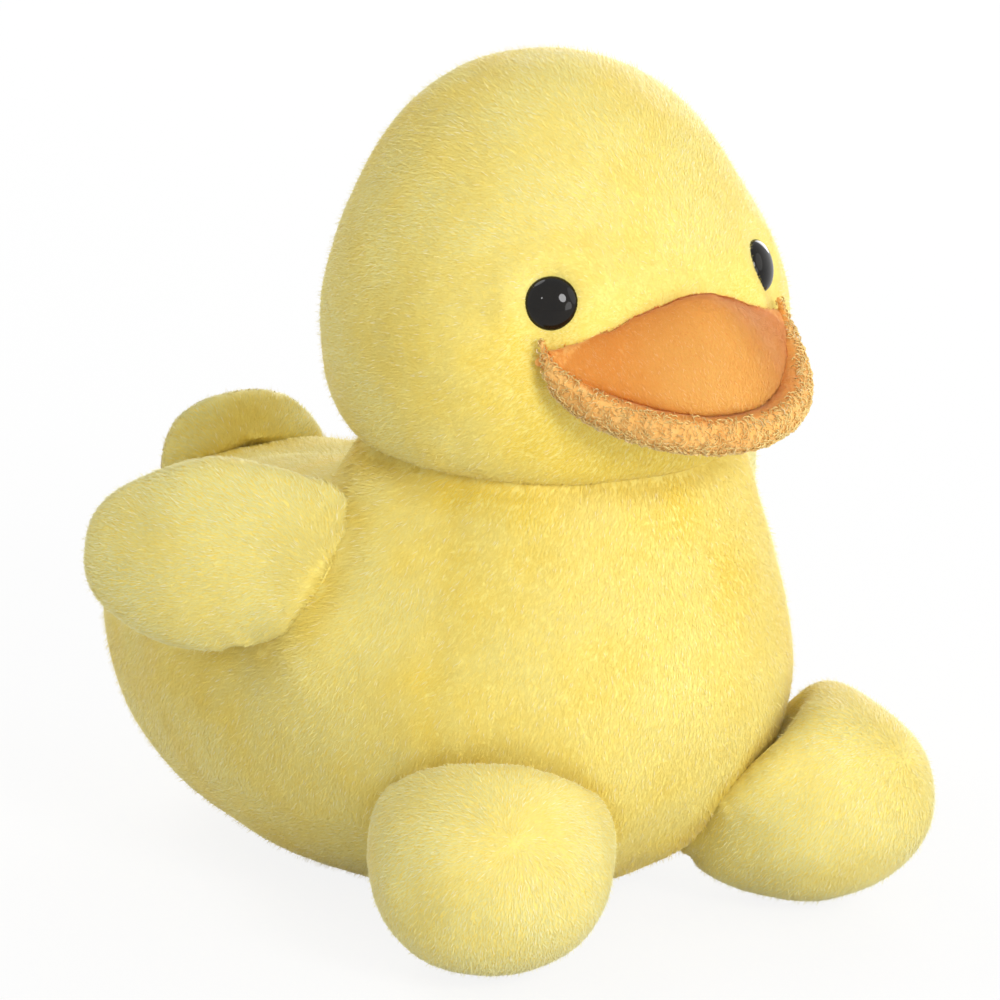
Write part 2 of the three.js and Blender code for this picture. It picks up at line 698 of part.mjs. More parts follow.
// Limbs
for (const side of sides) {
  const hand = side < 0 ? 'right' : 'left'
  const wingPivot = wingRoot(side)
  const foldTurn = side < 0 ? [-wingFoldTurn, wingOpenTurn] : [-wingOpenTurn, wingFoldTurn]
  const wingClear = (limb, gap) => cut(
    cutClear(limb, bodyForm(gap), wingPivot, wingAxis(side), ...foldTurn),
    headForm(gap + wingHeadClearance - seamGap))
  const outward = new THREE.Vector3(side * Math.cos(wingSweep * radians), Math.sin(wingSweep * radians), 0)
  const wingEnd = wingPivot.clone().addScaledVector(outward, wingLength * wingHoleShare)
  const wingHole = rod(wingPivot, wingEnd, wingHoleRadius)
  duck.add(...sewnLimb(`${hand}_wing_skin`, `${hand}_wing_stuffing`, grow => wingForm(side, grow),
    wingClear, wingHole, whiteFibre))

  const pivot = footPivot(side)
  const footClear = (limb, gap) =>
    cutClear(limb, bodyForm(gap), pivot, footAxis(side), 0, footLiftTurn)
  const footEnd = new THREE.Vector3(side * footMiddleSide, -footMiddleFront, footHingeHeight)
  const footHole = rod(footEnd.clone().lerp(pivot, footHoleShare), footEnd, footHoleRadius)
  duck.add(...sewnLimb(`${hand}_foot_skin`, `${hand}_foot_pellets`, grow => footForm(side, grow),
    footClear, footHole, clearPellets))
}
const tailClear = (limb, gap) =>
  cutClear(limb, bodyForm(gap), tailRoot, tailAxis, -tailSwayTurn, tailSwayTurn)
const tailHoleEnd = tailRoot.clone().setZ(tailRootHeight + tailHeight / 2)
const tailHole = rod(tailRoot.clone().setZ(tailRootHeight - tailHeight), tailHoleEnd, tailHoleRadius)
duck.add(...sewnLimb('tail_skin', 'tail_stuffing', tailForm, tailClear, tailHole, whiteFibre))

// The origin is under the middle of the toy's box, on the surface that it sits on
const box = new THREE.Box3().setFromObject(duck)
duck.position.y = -(box.min.y + box.max.y) / 2

const toy = new THREE.Group()
toy.add(duck)
export default toy
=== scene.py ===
import json
import math

import bmesh
import bpy
from mathutils import Matrix, Vector, noise
from mathutils.bvhtree import BVHTree


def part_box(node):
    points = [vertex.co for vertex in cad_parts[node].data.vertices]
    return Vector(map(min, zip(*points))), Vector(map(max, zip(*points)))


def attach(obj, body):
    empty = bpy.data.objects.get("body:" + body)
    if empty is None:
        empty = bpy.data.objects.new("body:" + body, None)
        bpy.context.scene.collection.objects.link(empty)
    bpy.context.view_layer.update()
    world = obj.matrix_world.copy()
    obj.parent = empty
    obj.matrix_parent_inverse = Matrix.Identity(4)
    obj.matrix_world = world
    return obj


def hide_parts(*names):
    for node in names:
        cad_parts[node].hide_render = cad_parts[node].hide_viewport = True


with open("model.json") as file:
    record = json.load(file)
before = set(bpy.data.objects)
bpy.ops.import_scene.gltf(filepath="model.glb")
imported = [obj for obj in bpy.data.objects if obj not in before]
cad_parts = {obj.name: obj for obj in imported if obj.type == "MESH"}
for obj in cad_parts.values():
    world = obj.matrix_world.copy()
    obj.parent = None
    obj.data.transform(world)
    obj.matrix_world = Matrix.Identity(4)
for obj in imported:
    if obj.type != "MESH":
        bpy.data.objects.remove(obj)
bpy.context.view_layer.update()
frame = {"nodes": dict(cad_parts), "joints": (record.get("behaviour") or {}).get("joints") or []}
nodes = frame["nodes"]
pivots = {j["name"]: Vector(j["pos_m"]) for j in frame["joints"]}
scene = bpy.context.scene
scene.view_settings.view_transform = "Standard"
print("frame loaded")

# camera: the toy seen from its front right, a little above
view = {
    "turn": -36.5, "rise": 15.5, "distance": 1.2, "width": 0.14, "pixels": 1000, "near": 0.05, "far": 20,
    "aim": (0, -0.02195, 0.0918), "aimPixel": (553, 270),  # a place in the head and where the picture has it
}


def bearing(turn, rise):
    # the direction so many degrees round from the front and up from the floor
    turn, rise = math.radians(turn), math.radians(rise)
    return Vector((math.sin(turn) * math.cos(rise), -math.cos(turn) * math.cos(rise), math.sin(rise)))


def placeCamera():
    turn = math.radians(view["turn"])
    back = bearing(view["turn"], view["rise"])
    right = Vector((math.cos(turn), math.sin(turn), 0))
    up = back.cross(right)
    pixel = view["width"] / view["pixels"]
    middle = view["pixels"] / 2
    across, down = view["aimPixel"]
    target = Vector(view["aim"]) - right * (across - middle) * pixel - up * (middle - down) * pixel
    data = bpy.data.cameras.new("camera")
    data.angle = 2 * math.atan(view["width"] / 2 / view["distance"])
    data.clip_start, data.clip_end = view["near"], view["far"]
    camera = bpy.data.objects.new("camera", data)
    camera.matrix_world = Matrix((right, up, back)).transposed().to_4x4()
    camera.location = target + back * view["distance"]
    scene.collection.objects.link(camera)
    scene.camera = camera


placeCamera()


# small helpers for node trees
def wire(tree, kind, place=(0, 0), **settings):
    node = tree.nodes.new(kind)
    node.location = place
    for name, value in settings.items():
        setattr(node, name, value)
    return node


def plug(sockets, name):
    return next(s for s in sockets if s.enabled and s.name == name)


def made(tree, kind, sockets, **settings):
    # adds a node, fills the sockets that are given by name or number, and gives its first output
    node = wire(tree, kind, **settings)
    for name, value in sockets.items():
        socket = node.inputs[name] if isinstance(name, int) else plug(node.inputs, name)
        if isinstance(value, bpy.types.NodeSocket):
            tree.links.new(value, socket)
        else:
            socket.default_value = value
    return next(s for s in node.outputs if s.enabled)


def newMaterial(name, roughness, specular=0.5, sheen=0.0):
    material = bpy.data.materials.new(name)
    material.use_nodes = True
    tree = material.node_tree
    shader = tree.nodes["Principled BSDF"]
    shader.inputs["Roughness"].default_value = roughness
    shader.inputs["Specular IOR Level"].default_value = specular
    shader.inputs["Sheen Weight"].default_value = sheen
    return material, tree, shader


def colourRamp(tree, stops, place):
    ramp = wire(tree, "ShaderNodeValToRGB", place)
    while len(ramp.color_ramp.elements) < len(stops):
        ramp.color_ramp.elements.new(0.5)
    for element, (at, colour) in zip(ramp.color_ramp.elements, stops):
        element.position = at
        element.color = (*colour, 1)
    return ramp


def mixColour(tree, place, blend="MIX", factor=0.5):
    mix = wire(tree, "ShaderNodeMix", place, data_type="RGBA", blend_type=blend)
    plug(mix.inputs, "Factor").default_value = factor
    return mix


def noiseOn(tree, scale, place, detail=3.0):
    where = wire(tree, "ShaderNodeTexCoord", (place[0] - 200, place[1]))
    sockets = {"Vector": where.outputs["Object"], "Scale": scale, "Detail": detail}
    return made(tree, "ShaderNodeTexNoise", sockets, place=place).node


def grained(tree, shader, scale, stops):
    speck = noiseOn(tree, scale, (-700, 100))
    ramp = colourRamp(tree, stops, (-450, 100))
    tree.links.new(speck.outputs["Fac"], ramp.inputs["Fac"])
    tree.links.new(ramp.outputs["Color"], shader.inputs["Base Color"])
    return speck


def dented(tree, shader, height, strength, depth):
    sockets = {"Strength": strength, "Distance": depth, "Height": height.outputs["Fac"]}
    bump = made(tree, "ShaderNodeBump", sockets, place=(-300, -200))
    tree.links.new(bump, shader.inputs["Normal"])


# materials
clothLook = {
    "roughness": 0.9, "specular": 0.2, "sheen": 0.15, "grain": 700, "weave": 2600, "weaveDetail": 2.0,
    "strength": 0.5, "depth": 0.0003,
}


def clothUnderPile(name, deep, pale):
    look = clothLook
    material, tree, shader = newMaterial(name, look["roughness"], look["specular"], look["sheen"])
    grained(tree, shader, look["grain"], [(0.3, deep), (0.7, pale)])
    weave = noiseOn(tree, look["weave"], (-700, -200), look["weaveDetail"])
    dented(tree, shader, weave, look["strength"], look["depth"])
    return material


def pileFinish(name, look):
    material, tree, shader = newMaterial(name, look["roughness"], look["specular"], look["sheen"])
    shader.inputs["Sheen Roughness"].default_value = 0.4
    link = tree.links.new
    where = wire(tree, "ShaderNodeUVMap", (-1300, 200), uv_map="UVMap")
    split = wire(tree, "ShaderNodeSeparateXYZ", (-1100, 200))
    # each strand is deeper in colour at the root and paler at the tip: painted shade down in the pile
    ramp = colourRamp(tree, [(0.0, look["root"]), (0.35, look["middle"]), (0.95, look["tip"])], (-900, 250))
    # the warm weight and random patches mix in a deeper golden: painted shade in creases, hollows and under
    # the bill, the cloth's own deeper tone elsewhere
    warm = wire(tree, "ShaderNodeAttribute", (-1100, 450), attribute_name="warm")
    patch = noiseOn(tree, look["patchScale"], (-1300, -350), 2.0)
    patchTone = colourRamp(tree, [(0.42, (0, 0, 0)), (0.72, (look["patchAmount"],) * 3)], (-900, -350))
    warmer = wire(tree, "ShaderNodeMath", (-700, 450), operation="ADD", use_clamp=True)
    tint = wire(tree, "ShaderNodeAttribute", (-1100, -100), attribute_name="tint")
    shade = colourRamp(tree, [(0.0, (look["dim"],) * 3), (1.0, (1.0, 1.0, 1.0))], (-900, -50))
    # a few strands are painted near white: painted glints standing in for highlights on the fibres
    paintedGlint = colourRamp(tree, [(0.96, (0, 0, 0)), (0.98, (look["glintAmount"],) * 3)], (-600, -200))
    first = mixColour(tree, (-600, 150))
    second = mixColour(tree, (-400, 100), "MULTIPLY", 1.0)
    third = mixColour(tree, (-200, 100))
    plug(first.inputs, "B").default_value = (*look["warm"], 1)
    plug(third.inputs, "B").default_value = (*look["glint"], 1)
    link(where.outputs["UV"], split.inputs["Vector"])
    link(split.outputs["Y"], ramp.inputs["Fac"])
    link(patch.outputs["Fac"], patchTone.inputs["Fac"])
    link(warm.outputs["Fac"], warmer.inputs[0])
    link(patchTone.outputs["Color"], warmer.inputs[1])
    link(warmer.outputs[0], plug(first.inputs, "Factor"))
    link(ramp.outputs["Color"], plug(first.inputs, "A"))
    link(tint.outputs["Fac"], shade.inputs["Fac"])
    link(tint.outputs["Fac"], paintedGlint.inputs["Fac"])
    link(plug(first.outputs, "Result"), plug(second.inputs, "A"))
    link(shade.outputs["Color"], plug(second.inputs, "B"))
    link(paintedGlint.outputs["Color"], plug(third.inputs, "Factor"))
    link(plug(second.outputs, "Result"), plug(third.inputs, "A"))
    link(plug(third.outputs, "Result"), shader.inputs["Base Color"])
    return material


def speckled(name, dark, light, scale, roughness, specular=0.4, depth=0.0002):
    material, tree, shader = newMaterial(name, roughness, specular)
    speck = grained(tree, shader, scale, [(0.35, dark), (0.65, light)])
    dented(tree, shader, speck, 0.4, depth)
    return material


yellowCloth = clothUnderPile("yellowCloth", (0.92, 0.74, 0.17), (0.95, 0.82, 0.25))
orangeCloth = clothUnderPile("orangeCloth", (0.88, 0.38, 0.08), (0.92, 0.47, 0.13))
terryCloth = clothUnderPile("terryCloth", (0.91, 0.48, 0.13), (0.94, 0.58, 0.20))
# warm is the deeper golden mixed in for painted shade in creases and hollows and for the cloth's own deeper
# tone; glint is the colour of painted highlights on a few strands
yellowLook = {
    "root": (0.91, 0.76, 0.20), "middle": (0.93, 0.82, 0.27), "tip": (0.94, 0.86, 0.37),
    "warm": (0.94, 0.72, 0.10), "glint": (0.98, 0.95, 0.70), "glintAmount": 0.45, "dim": 0.94,
    "patchScale": 85, "patchAmount": 0.6, "roughness": 0.6, "specular": 0.3, "sheen": 0.2,
}
yellowPile = pileFinish("yellowPile", yellowLook)
# a paler, greyer copy of the yellow pile for the wings, feet and tail: painted light, standing in for the rim
# and bounce light on them
limbPaintedLightPile = pileFinish("limbPaintedLightPile", dict(
    yellowLook, root=(0.86, 0.76, 0.25), middle=(0.89, 0.82, 0.33), tip=(0.91, 0.86, 0.43),
    warm=(0.93, 0.74, 0.14), glint=(0.98, 0.96, 0.76), patchAmount=0.45, sheen=0.25))
orangePile = pileFinish("orangePile", dict(
    yellowLook, root=(0.88, 0.38, 0.06), middle=(0.91, 0.46, 0.09), tip=(0.93, 0.55, 0.14),
    warm=(0.90, 0.36, 0.06), glint=(0.97, 0.72, 0.38), glintAmount=0.3, patchScale=60,
    patchAmount=0.3, roughness=0.65, sheen=0.1))
loopPile = pileFinish("loopPile", dict(
    yellowLook, root=(0.90, 0.52, 0.14), middle=(0.95, 0.72, 0.28), tip=(0.96, 0.80, 0.40),
    warm=(0.90, 0.44, 0.10), glint=(0.97, 0.79, 0.48), glintAmount=0.7, dim=0.88, patchScale=90,
    patchAmount=0.2, roughness=0.7, sheen=0.1))
eyeBlack = speckled("eyeBlack", (0.004, 0.0035, 0.003), (0.008, 0.006, 0.004), 300, 0.05, 0.26, 0.000002)
fibre = speckled("fibre", (0.80, 0.79, 0.74), (0.90, 0.89, 0.85), 900, 0.95, 0.2)
pellets = speckled("pellets", (0.70, 0.69, 0.66), (0.82, 0.81, 0.78), 500, 0.4, 0.5)
pouchCloth = speckled("pouchCloth", (0.66, 0.64, 0.58), (0.75, 0.73, 0.67), 1500, 0.9, 0.2)
washerPlastic = speckled("washerPlastic", (0.76, 0.75, 0.71), (0.82, 0.81, 0.77), 400, 0.45, 0.4, 0.00002)
seamThread = speckled("seamThread", (0.66, 0.42, 0.08), (0.78, 0.54, 0.14), 2500, 0.85, 0.2)

inside = {
    "neck_seam_thread": seamThread, "body_stuffing": fibre, "pellet_pouch": pouchCloth, "pellets": pellets,
    "head_stuffing": fibre, "right_eye_washer": washerPlastic, "left_eye_washer": washerPlastic,
    "upper_bill_padding": fibre, "lower_bill_padding": fibre, "right_foot_pellets": pellets,
    "left_foot_pellets": pellets, "tail_stuffing": fibre,
}
for name, material in inside.items():
    nodes[name].data.materials.clear()
    nodes[name].data.materials.append(material)
print("materials made")


# soft skins: the outside of a CAD skin, remeshed evenly and smoothed
def addObject(name, mesh):
    thing = bpy.data.objects.new(name, mesh)
    scene.collection.objects.link(thing)
    return thing


def applied(thing):
    graph = bpy.context.evaluated_depsgraph_get()
    mesh = bpy.data.meshes.new_from_object(thing.evaluated_get(graph))
    thing.modifiers.clear()
    thing.data = mesh
    return thing


def meshOf(name, bm):
    mesh = bpy.data.meshes.new(name)
    bm.to_mesh(mesh)
    bm.free()
    return mesh


def copied(thing):
    copy = thing.copy()
    copy.data = thing.data.copy()
    scene.collection.objects.link(copy)
    return copy


weld = 0.00001  # corners closer than this are one


def outsideOf(node, voxel, reach):
    # the inner wall goes: its faces look at another face of the skin
    shell = bmesh.new()
    shell.from_mesh(nodes[node].data)
    bmesh.ops.remove_doubles(shell, verts=shell.verts, dist=weld)
    thing = addObject(node + "Copy", meshOf(node + "Copy", shell))
    remesh = thing.modifiers.new("Remesh", "REMESH")
    remesh.mode = "VOXEL"
    remesh.voxel_size = voxel
    remesh.adaptivity = 0
    applied(thing)
    bm = bmesh.new()
    bm.from_mesh(thing.data)
    bpy.data.objects.remove(thing)
    bm.normal_update()
    tree = BVHTree.FromBMesh(bm)
    inner = []
    for face in bm.faces:
        start = face.calc_center_median() + face.normal * voxel * 0.2
        hit = tree.ray_cast(start, face.normal, reach)
        if hit[0] is not None:
            inner.append(face)
    bmesh.ops.delete(bm, geom=inner, context="FACES")
    keepLargest(bm)
    edges = [e for e in bm.edges if e.is_boundary]
    bmesh.ops.holes_fill(bm, edges=edges, sides=0)
    bmesh.ops.triangulate(bm, faces=[f for f in bm.faces if len(f.verts) > 4])
    bmesh.ops.recalc_face_normals(bm, faces=bm.faces)
    return bm


def keepLargest(bm):
    left, groups = set(bm.verts), []
    while left:
        queue = [left.pop()]
        group = []
        while queue:
            vert = queue.pop()
            group.append(vert)
            near = {edge.other_vert(vert) for edge in vert.link_edges} & left
            left -= near
            queue.extend(near)
        groups.append(group)
    groups.sort(key=len)
    bmesh.ops.delete(bm, geom=[v for g in groups[:-1] for v in g], context="VERTS")


clothRun = {
    "enlarge": 10, "frames": 20, "quality": 4, "mass": 0.3, "stretch": 12, "bend": 0.6, "pressure": 4,
    "leastGrip": 0.02,
}


def puffUp(skin, look):
    # a short cloth run, ten times life size, swells the cloth between the seams that hold it
    model = copied(skin)
    model.data.transform(Matrix.Scale(clothRun["enlarge"], 4))
    held = model.vertex_groups.new(name="held")
    for vert in skin.data.vertices:
        grip = min(max(look["held"](vert.co), 0), 1)
        if grip > clothRun["leastGrip"]:
            held.add([vert.index], grip, "REPLACE")
    cloth = model.modifiers.new("Cloth", "CLOTH")
    cloth.settings.quality = clothRun["quality"]
    cloth.settings.mass = clothRun["mass"]
    cloth.settings.tension_stiffness = cloth.settings.compression_stiffness = clothRun["stretch"]
    cloth.settings.bending_stiffness = clothRun["bend"]
    cloth.settings.use_pressure = True
    cloth.settings.uniform_pressure_force = clothRun["pressure"]
    cloth.settings.effector_weights.gravity = 0
    cloth.settings.vertex_group_mass = "held"
    cloth.collision_settings.use_collision = False
    for step in range(clothRun["frames"]):
        scene.frame_set(step + 1)
    graph = bpy.context.evaluated_depsgraph_get()
    swollen = model.evaluated_get(graph).data
    largest = 0
    for vert, moved in zip(skin.data.vertices, swollen.vertices):
        change = moved.co / clothRun["enlarge"] - vert.co
        largest = max(largest, change.length)
        if change.length > look["mostSwell"]:
            change *= look["mostSwell"] / change.length
        vert.co += change
    bpy.data.objects.remove(model)
    scene.frame_set(1)
    print(skin.name, "swelled by up to", round(largest * 1000, 2), "mm before the cap")


farReach = 0.2  # further than any skin is wide


def softSkin(name, node, look, cloth):
    bm = outsideOf(node, look["voxel"], look.get("reach", farReach))
    if "shape" in look:
        for vert in bm.verts:
            vert.co = look["shape"](vert.co)
    for i in range(look["smooth"]):
        bmesh.ops.smooth_vert(bm, verts=bm.verts, factor=0.5,
                              use_axis_x=True, use_axis_y=True, use_axis_z=True)
    bm.normal_update()
    for vert in bm.verts:
        lift = look["plump"]
        for groove in look.get("grooves", []):
            lift -= groove(vert.co, vert.normal)
        if "lumps" in look:
            lift += look["lumps"] * noise.noise(vert.co * look["lumpScale"])
        vert.co += vert.normal * lift
    skin = addObject(name, meshOf(name, bm))
    for face in skin.data.polygons:
        face.use_smooth = True
    if "mostSwell" in look:
        puffUp(skin, look)
    fine = skin.modifiers.new("Smooth", "SUBSURF")
    fine.levels = fine.render_levels = 1
    applied(skin)
    skin.data.name = name
    skin.data.materials.clear()
    skin.data.materials.append(cloth)
    return skin


# pile: short strands planted on a skin
def along(share):
    # the place along a strand in its colour ramp, kept off the very ends
    return min(max(share, 0.02), 0.98)


def bladeMesh(name, blade):
    bm = bmesh.new()
    bmesh.ops.create_circle(bm, cap_ends=True, segments=4, radius=0.5)
    for vert in bm.verts:
        x, y = vert.co.x + 0.5, vert.co.y
        ahead = x if abs(y) < 0.1 else blade["wide"]
        vert.co = Vector((ahead, y + blade["side"] * x * x, blade["arch"] * 4 * x * (1 - x)))
    middle = sorted(bm.verts, key=lambda v: abs(v.co.x - blade["wide"]))[:2]
    bmesh.ops.connect_verts(bm, verts=middle)
    bmesh.ops.recalc_face_normals(bm, faces=bm.faces)
    layer = bm.loops.layers.uv.new("UVMap")
    for face in bm.faces:
        if face.normal.z < 0:
            face.normal_flip()
        face.smooth = True
        for loop in face.loops:
            loop[layer].uv = (0.5, along(loop.vert.co.x))
    return meshOf(name, bm)


weights = ("flow", "pile", "nap", "warm")


def setWeights(skin, rule):
    # a rule gives each place the way of the nap, how much pile, how long and how warm in colour; the warm
    # weight paints shade in creases, hollows and under the bill as well as the cloth's own deeper tones
    values = {name: [] for name in weights}
    for vert in skin.data.vertices:
        flow, *others = rule(vert.co, vert.normal)
        values["flow"].extend(flow.normalized())
        for name, value in zip(weights[1:], others):
            values[name].append(value)
    for name in weights:
        if name in skin.data.attributes:
            skin.data.attributes.remove(skin.data.attributes[name])
        kind, field = ("FLOAT_VECTOR", "vector") if name == "flow" else ("FLOAT", "value")
        skin.data.attributes.new(name, kind, "POINT").data.foreach_set(field, values[name])


# the node tree that plants the strands
def weightOf(tree, name, kind="FLOAT"):
    return made(tree, "GeometryNodeInputNamedAttribute", {"Name": name}, data_type=kind)


def chanceOf(tree, low, high, kind="FLOAT"):
    return made(tree, "FunctionNodeRandomValue", {"Min": low, "Max": high}, data_type=kind)


def strayOf(tree, most):
    return chanceOf(tree, (-most,) * 3, (most,) * 3, "FLOAT_VECTOR")


def worked(tree, operation, first, second):
    return made(tree, "ShaderNodeMath", {0: first, 1: second}, operation=operation)


def combined(tree, operation, first, second):
    other = "Scale" if operation == "SCALE" else 1
    return made(tree, "ShaderNodeVectorMath", {0: first, other: second}, operation=operation)


def waveOf(tree, place, scale, detail, strength):
    wave = made(tree, "ShaderNodeTexNoise", {"Vector": place, "Scale": scale, "Detail": detail}).node
    centred = combined(tree, "SUBTRACT", wave.outputs["Color"], (0.5, 0.5, 0.5))
    return combined(tree, "SCALE", centred, strength)


def keptOn(tree, name, geometry, value, kind, domain):
    sockets = {"Geometry": geometry, "Name": name, "Value": value}
    return made(tree, "GeometryNodeStoreNamedAttribute", sockets, data_type=kind, domain=domain)


def strandCourse(tree, pile, place):
    # the way that a strand lies: with the nap, swayed in waves, and a little astray
    course = weightOf(tree, "flow", "FLOAT_VECTOR")
    for scale, strength in pile["sway"]:
        course = combined(tree, "ADD", waveOf(tree, place, scale, 1.0, strength), course)
    return combined(tree, "ADD", course, strayOf(tree, pile["stray"]))


def strandTurn(tree, pile, normal, course):
    # stands a strand on the skin, combs it along its course and raises it a little
    upright = made(tree, "FunctionNodeAlignRotationToVector", {"Vector": normal}, axis="Z")
    combed = made(tree, "FunctionNodeAlignRotationToVector", {"Rotation": upright, "Vector": course},
                  axis="X", pivot_axis="Z")
    low, high = (-math.radians(rise) for rise in pile["rise"])
    share = worked(tree, "POWER", chanceOf(tree, 0.0, 1.0), pile["rare"])
    angle = made(tree, "ShaderNodeMapRange", {"Value": share, "To Min": low, "To Max": high})
    lean = made(tree, "FunctionNodeAxisAngleToRotation", {"Axis": (0, 1, 0), "Angle": angle})
    sockets = {"Rotation": combed, "Rotate By": lean}
    return made(tree, "FunctionNodeRotateRotation", sockets, rotation_space="LOCAL")


def strandSize(tree, pile):
    length = worked(tree, "MULTIPLY", chanceOf(tree, *pile["length"]), weightOf(tree, "nap"))
    return made(tree, "ShaderNodeCombineXYZ", {0: length, 1: pile["width"], 2: length})


def strandFacing(tree, pile, normal, place):
    # strands are shaded like the skin under them, a little uneven in tufts
    ruffled = combined(tree, "ADD", normal, strayOf(tree, pile["ruffle"]))
    return combined(tree, "ADD", ruffled, waveOf(tree, place, pile["tuftScale"], 2.0, pile["tuft"]))


def planted(tree, points, turn, size, strands):
    gather = wire(tree, "GeometryNodeJoinGeometry")
    for strand in strands:
        info = made(tree, "GeometryNodeObjectInfo", {"Object": strand, "As Instance": True}).node
        tree.links.new(plug(info.outputs, "Geometry"), gather.inputs[0])
    which = chanceOf(tree, 0, len(strands) - 1, "INT")
    return made(tree, "GeometryNodeInstanceOnPoints", {
        "Points": points, "Instance": gather.outputs[0], "Pick Instance": True, "Instance Index": which,
        "Rotation": turn, "Scale": size})


def keptAbove(tree, geometry, floorHeight):
    # no strand dips under the floor
    where = made(tree, "GeometryNodeInputPosition", {})
    parts = made(tree, "ShaderNodeSeparateXYZ", {0: where}).node.outputs
    height = worked(tree, "MAXIMUM", parts[2], floorHeight)
    moved = made(tree, "ShaderNodeCombineXYZ", {0: parts[0], 1: parts[1], 2: height})
    return made(tree, "GeometryNodeSetPosition", {"Geometry": geometry, "Position": moved})


def pileTree(name, pile, strands):
    tree = bpy.data.node_groups.new(name, "GeometryNodeTree")
    tree.interface.new_socket("Geometry", in_out="INPUT", socket_type="NodeSocketGeometry")
    tree.interface.new_socket("Geometry", in_out="OUTPUT", socket_type="NodeSocketGeometry")
    start = wire(tree, "NodeGroupInput")
    end = wire(tree, "NodeGroupOutput")
    density = worked(tree, "MULTIPLY", weightOf(tree, "pile"), pile["perSquareMetre"])
    sockets = {"Mesh": start.outputs[0], "Density": density, "Seed": pile["seed"]}
    scatter = made(tree, "GeometryNodeDistributePointsOnFaces", sockets, distribute_method="RANDOM").node
    points, normal = plug(scatter.outputs, "Points"), plug(scatter.outputs, "Normal")
    place = made(tree, "GeometryNodeInputPosition", {})
    facing = strandFacing(tree, pile, normal, place)
    points = keptOn(tree, "facing", points, facing, "FLOAT_VECTOR", "POINT")
    turn = strandTurn(tree, pile, normal, strandCourse(tree, pile, place))
    coat = planted(tree, points, turn, strandSize(tree, pile), strands)
    coat = keptOn(tree, "tint", coat, chanceOf(tree, 0.0, 1.0), "FLOAT", "INSTANCE")
    coat = made(tree, "GeometryNodeRealizeInstances", {"Geometry": coat})
    coat = keptAbove(tree, coat, pile["floor"])
    if pile["soft"]:
        sockets = {"Mesh": coat, "Custom Normal": weightOf(tree, "facing", "FLOAT_VECTOR")}
        coat = made(tree, "GeometryNodeSetMeshNormal", sockets, mode="FREE", domain="POINT")
    tree.links.new(coat, end.inputs[0])
    return tree


def growPile(name, skin, pile, finish, strands):
    coat = copied(skin)
    coat.name = name
    grow = coat.modifiers.new("Pile", "NODES")
    grow.node_group = pileTree(name, pile, strands)
    applied(coat)
    coat.data.name = name
    coat.data.materials.clear()
    coat.data.materials.append(finish)
    for attribute in [a.name for a in coat.data.attributes if a.name in ("flow", "pile", "nap", "facing")]:
        coat.data.attributes.remove(coat.data.attributes[attribute])
    print(name, len(coat.data.polygons), "faces")
    return coat


def spikeMesh(name, spike):
    bm = bmesh.new()
    bmesh.ops.create_cone(bm, segments=3, radius1=0.5, radius2=0.1, depth=1)
    bmesh.ops.rotate(bm, verts=bm.verts, matrix=Matrix.Rotation(math.pi / 2, 3, "Y"))
    bmesh.ops.translate(bm, verts=bm.verts, vec=(0.5, 0, 0))
    tip = [v for v in bm.verts if v.co.x > 0.9]
    bmesh.ops.pointmerge(bm, verts=tip, merge_co=(1, spike["bend"], spike["bend"]))
    for vert in bm.verts:
        vert.co.z *= spike["thick"]
    bmesh.ops.recalc_face_normals(bm, faces=bm.faces)
    layer = bm.loops.layers.uv.new("UVMap")
    for face in bm.faces:
        for loop in face.loops:
            loop[layer].uv = (0.5, 0.98 if loop.vert.co.x > 0.5 else 0.4)
    return meshOf(name, bm)


blades = [
    addObject("bladeA", bladeMesh("bladeA", {"wide": 0.45, "side": 0.0, "arch": 0.07})),
    addObject("bladeB", bladeMesh("bladeB", {"wide": 0.4, "side": 0.9, "arch": 0.04})),
    addObject("bladeC", bladeMesh("bladeC", {"wide": 0.5, "side": -0.9, "arch": 0.09})),
]
spikes = [
    addObject("spikeA", spikeMesh("spikeA", {"thick": 0.045, "bend": 0.8})),
    addObject("spikeB", spikeMesh("spikeB", {"thick": 0.045, "bend": -0.8})),
]


def surfaceTree(*names):
    bm = bmesh.new()
    for name in names:
        bm.from_mesh(nodes[name].data)
    tree = BVHTree.FromBMesh(bm)
    bm.free()
    return tree


def covered(place, normal, tree, reach):
    # whether another surface lies close over this place
    return tree.ray_cast(place + normal * 0.0001, normal, reach)[0] is not None


def surfaceOf(*names):
    tree = surfaceTree(*names)
    return lambda place: tree.find_nearest(place)[3]


def fade(value, start, end):
    return min(max((value - start) / (end - start), 0), 1)


def nearness(distance, reach):
    # 1 on the spot and falling away to 0 over the reach
    return math.exp(-(distance / reach) ** 2)


limbSkins = ("right_foot_skin", "left_foot_skin", "right_wing_skin", "left_wing_skin", "tail_skin")
limbTree = surfaceTree(*limbSkins)
limbGap = surfaceOf(*limbSkins)
billGap = surfaceOf("upper_bill_skin", "lower_bill_skin")
headGap = surfaceOf("head_skin")
bodyGap = surfaceOf("body_skin")
wingGap = surfaceOf("right_wing_skin", "left_wing_skin")
footGap = surfaceOf("right_foot_skin", "left_foot_skin")
tailGap = surfaceOf("tail_skin")
bodySurface = surfaceTree("body_skin")
eyePlaces = [sum(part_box(n), Vector()) / 2 for n in ("right_eye", "left_eye")]
underside = -0.8  # a normal lower than this faces the floor


def eyeGap(place):
    return min((place - e).length for e in eyePlaces)


def away(place, centre):
    return (place - centre).normalized()


def sided(side, place):
    # a place given for the left side, on the side that is asked for
    return Vector((side * place[0], place[1], place[2]))


# the neck, shared by body and head
neck = {"middle": -0.02, "rearShare": 0.5, "rearFade": (40, 95), "frontCalm": 0.7, "frontFade": (40, 60)}


def turnOf(place):
    # degrees from straight ahead, round the neck
    return abs(math.degrees(math.atan2(place.x, -(place.y - neck["middle"]))))


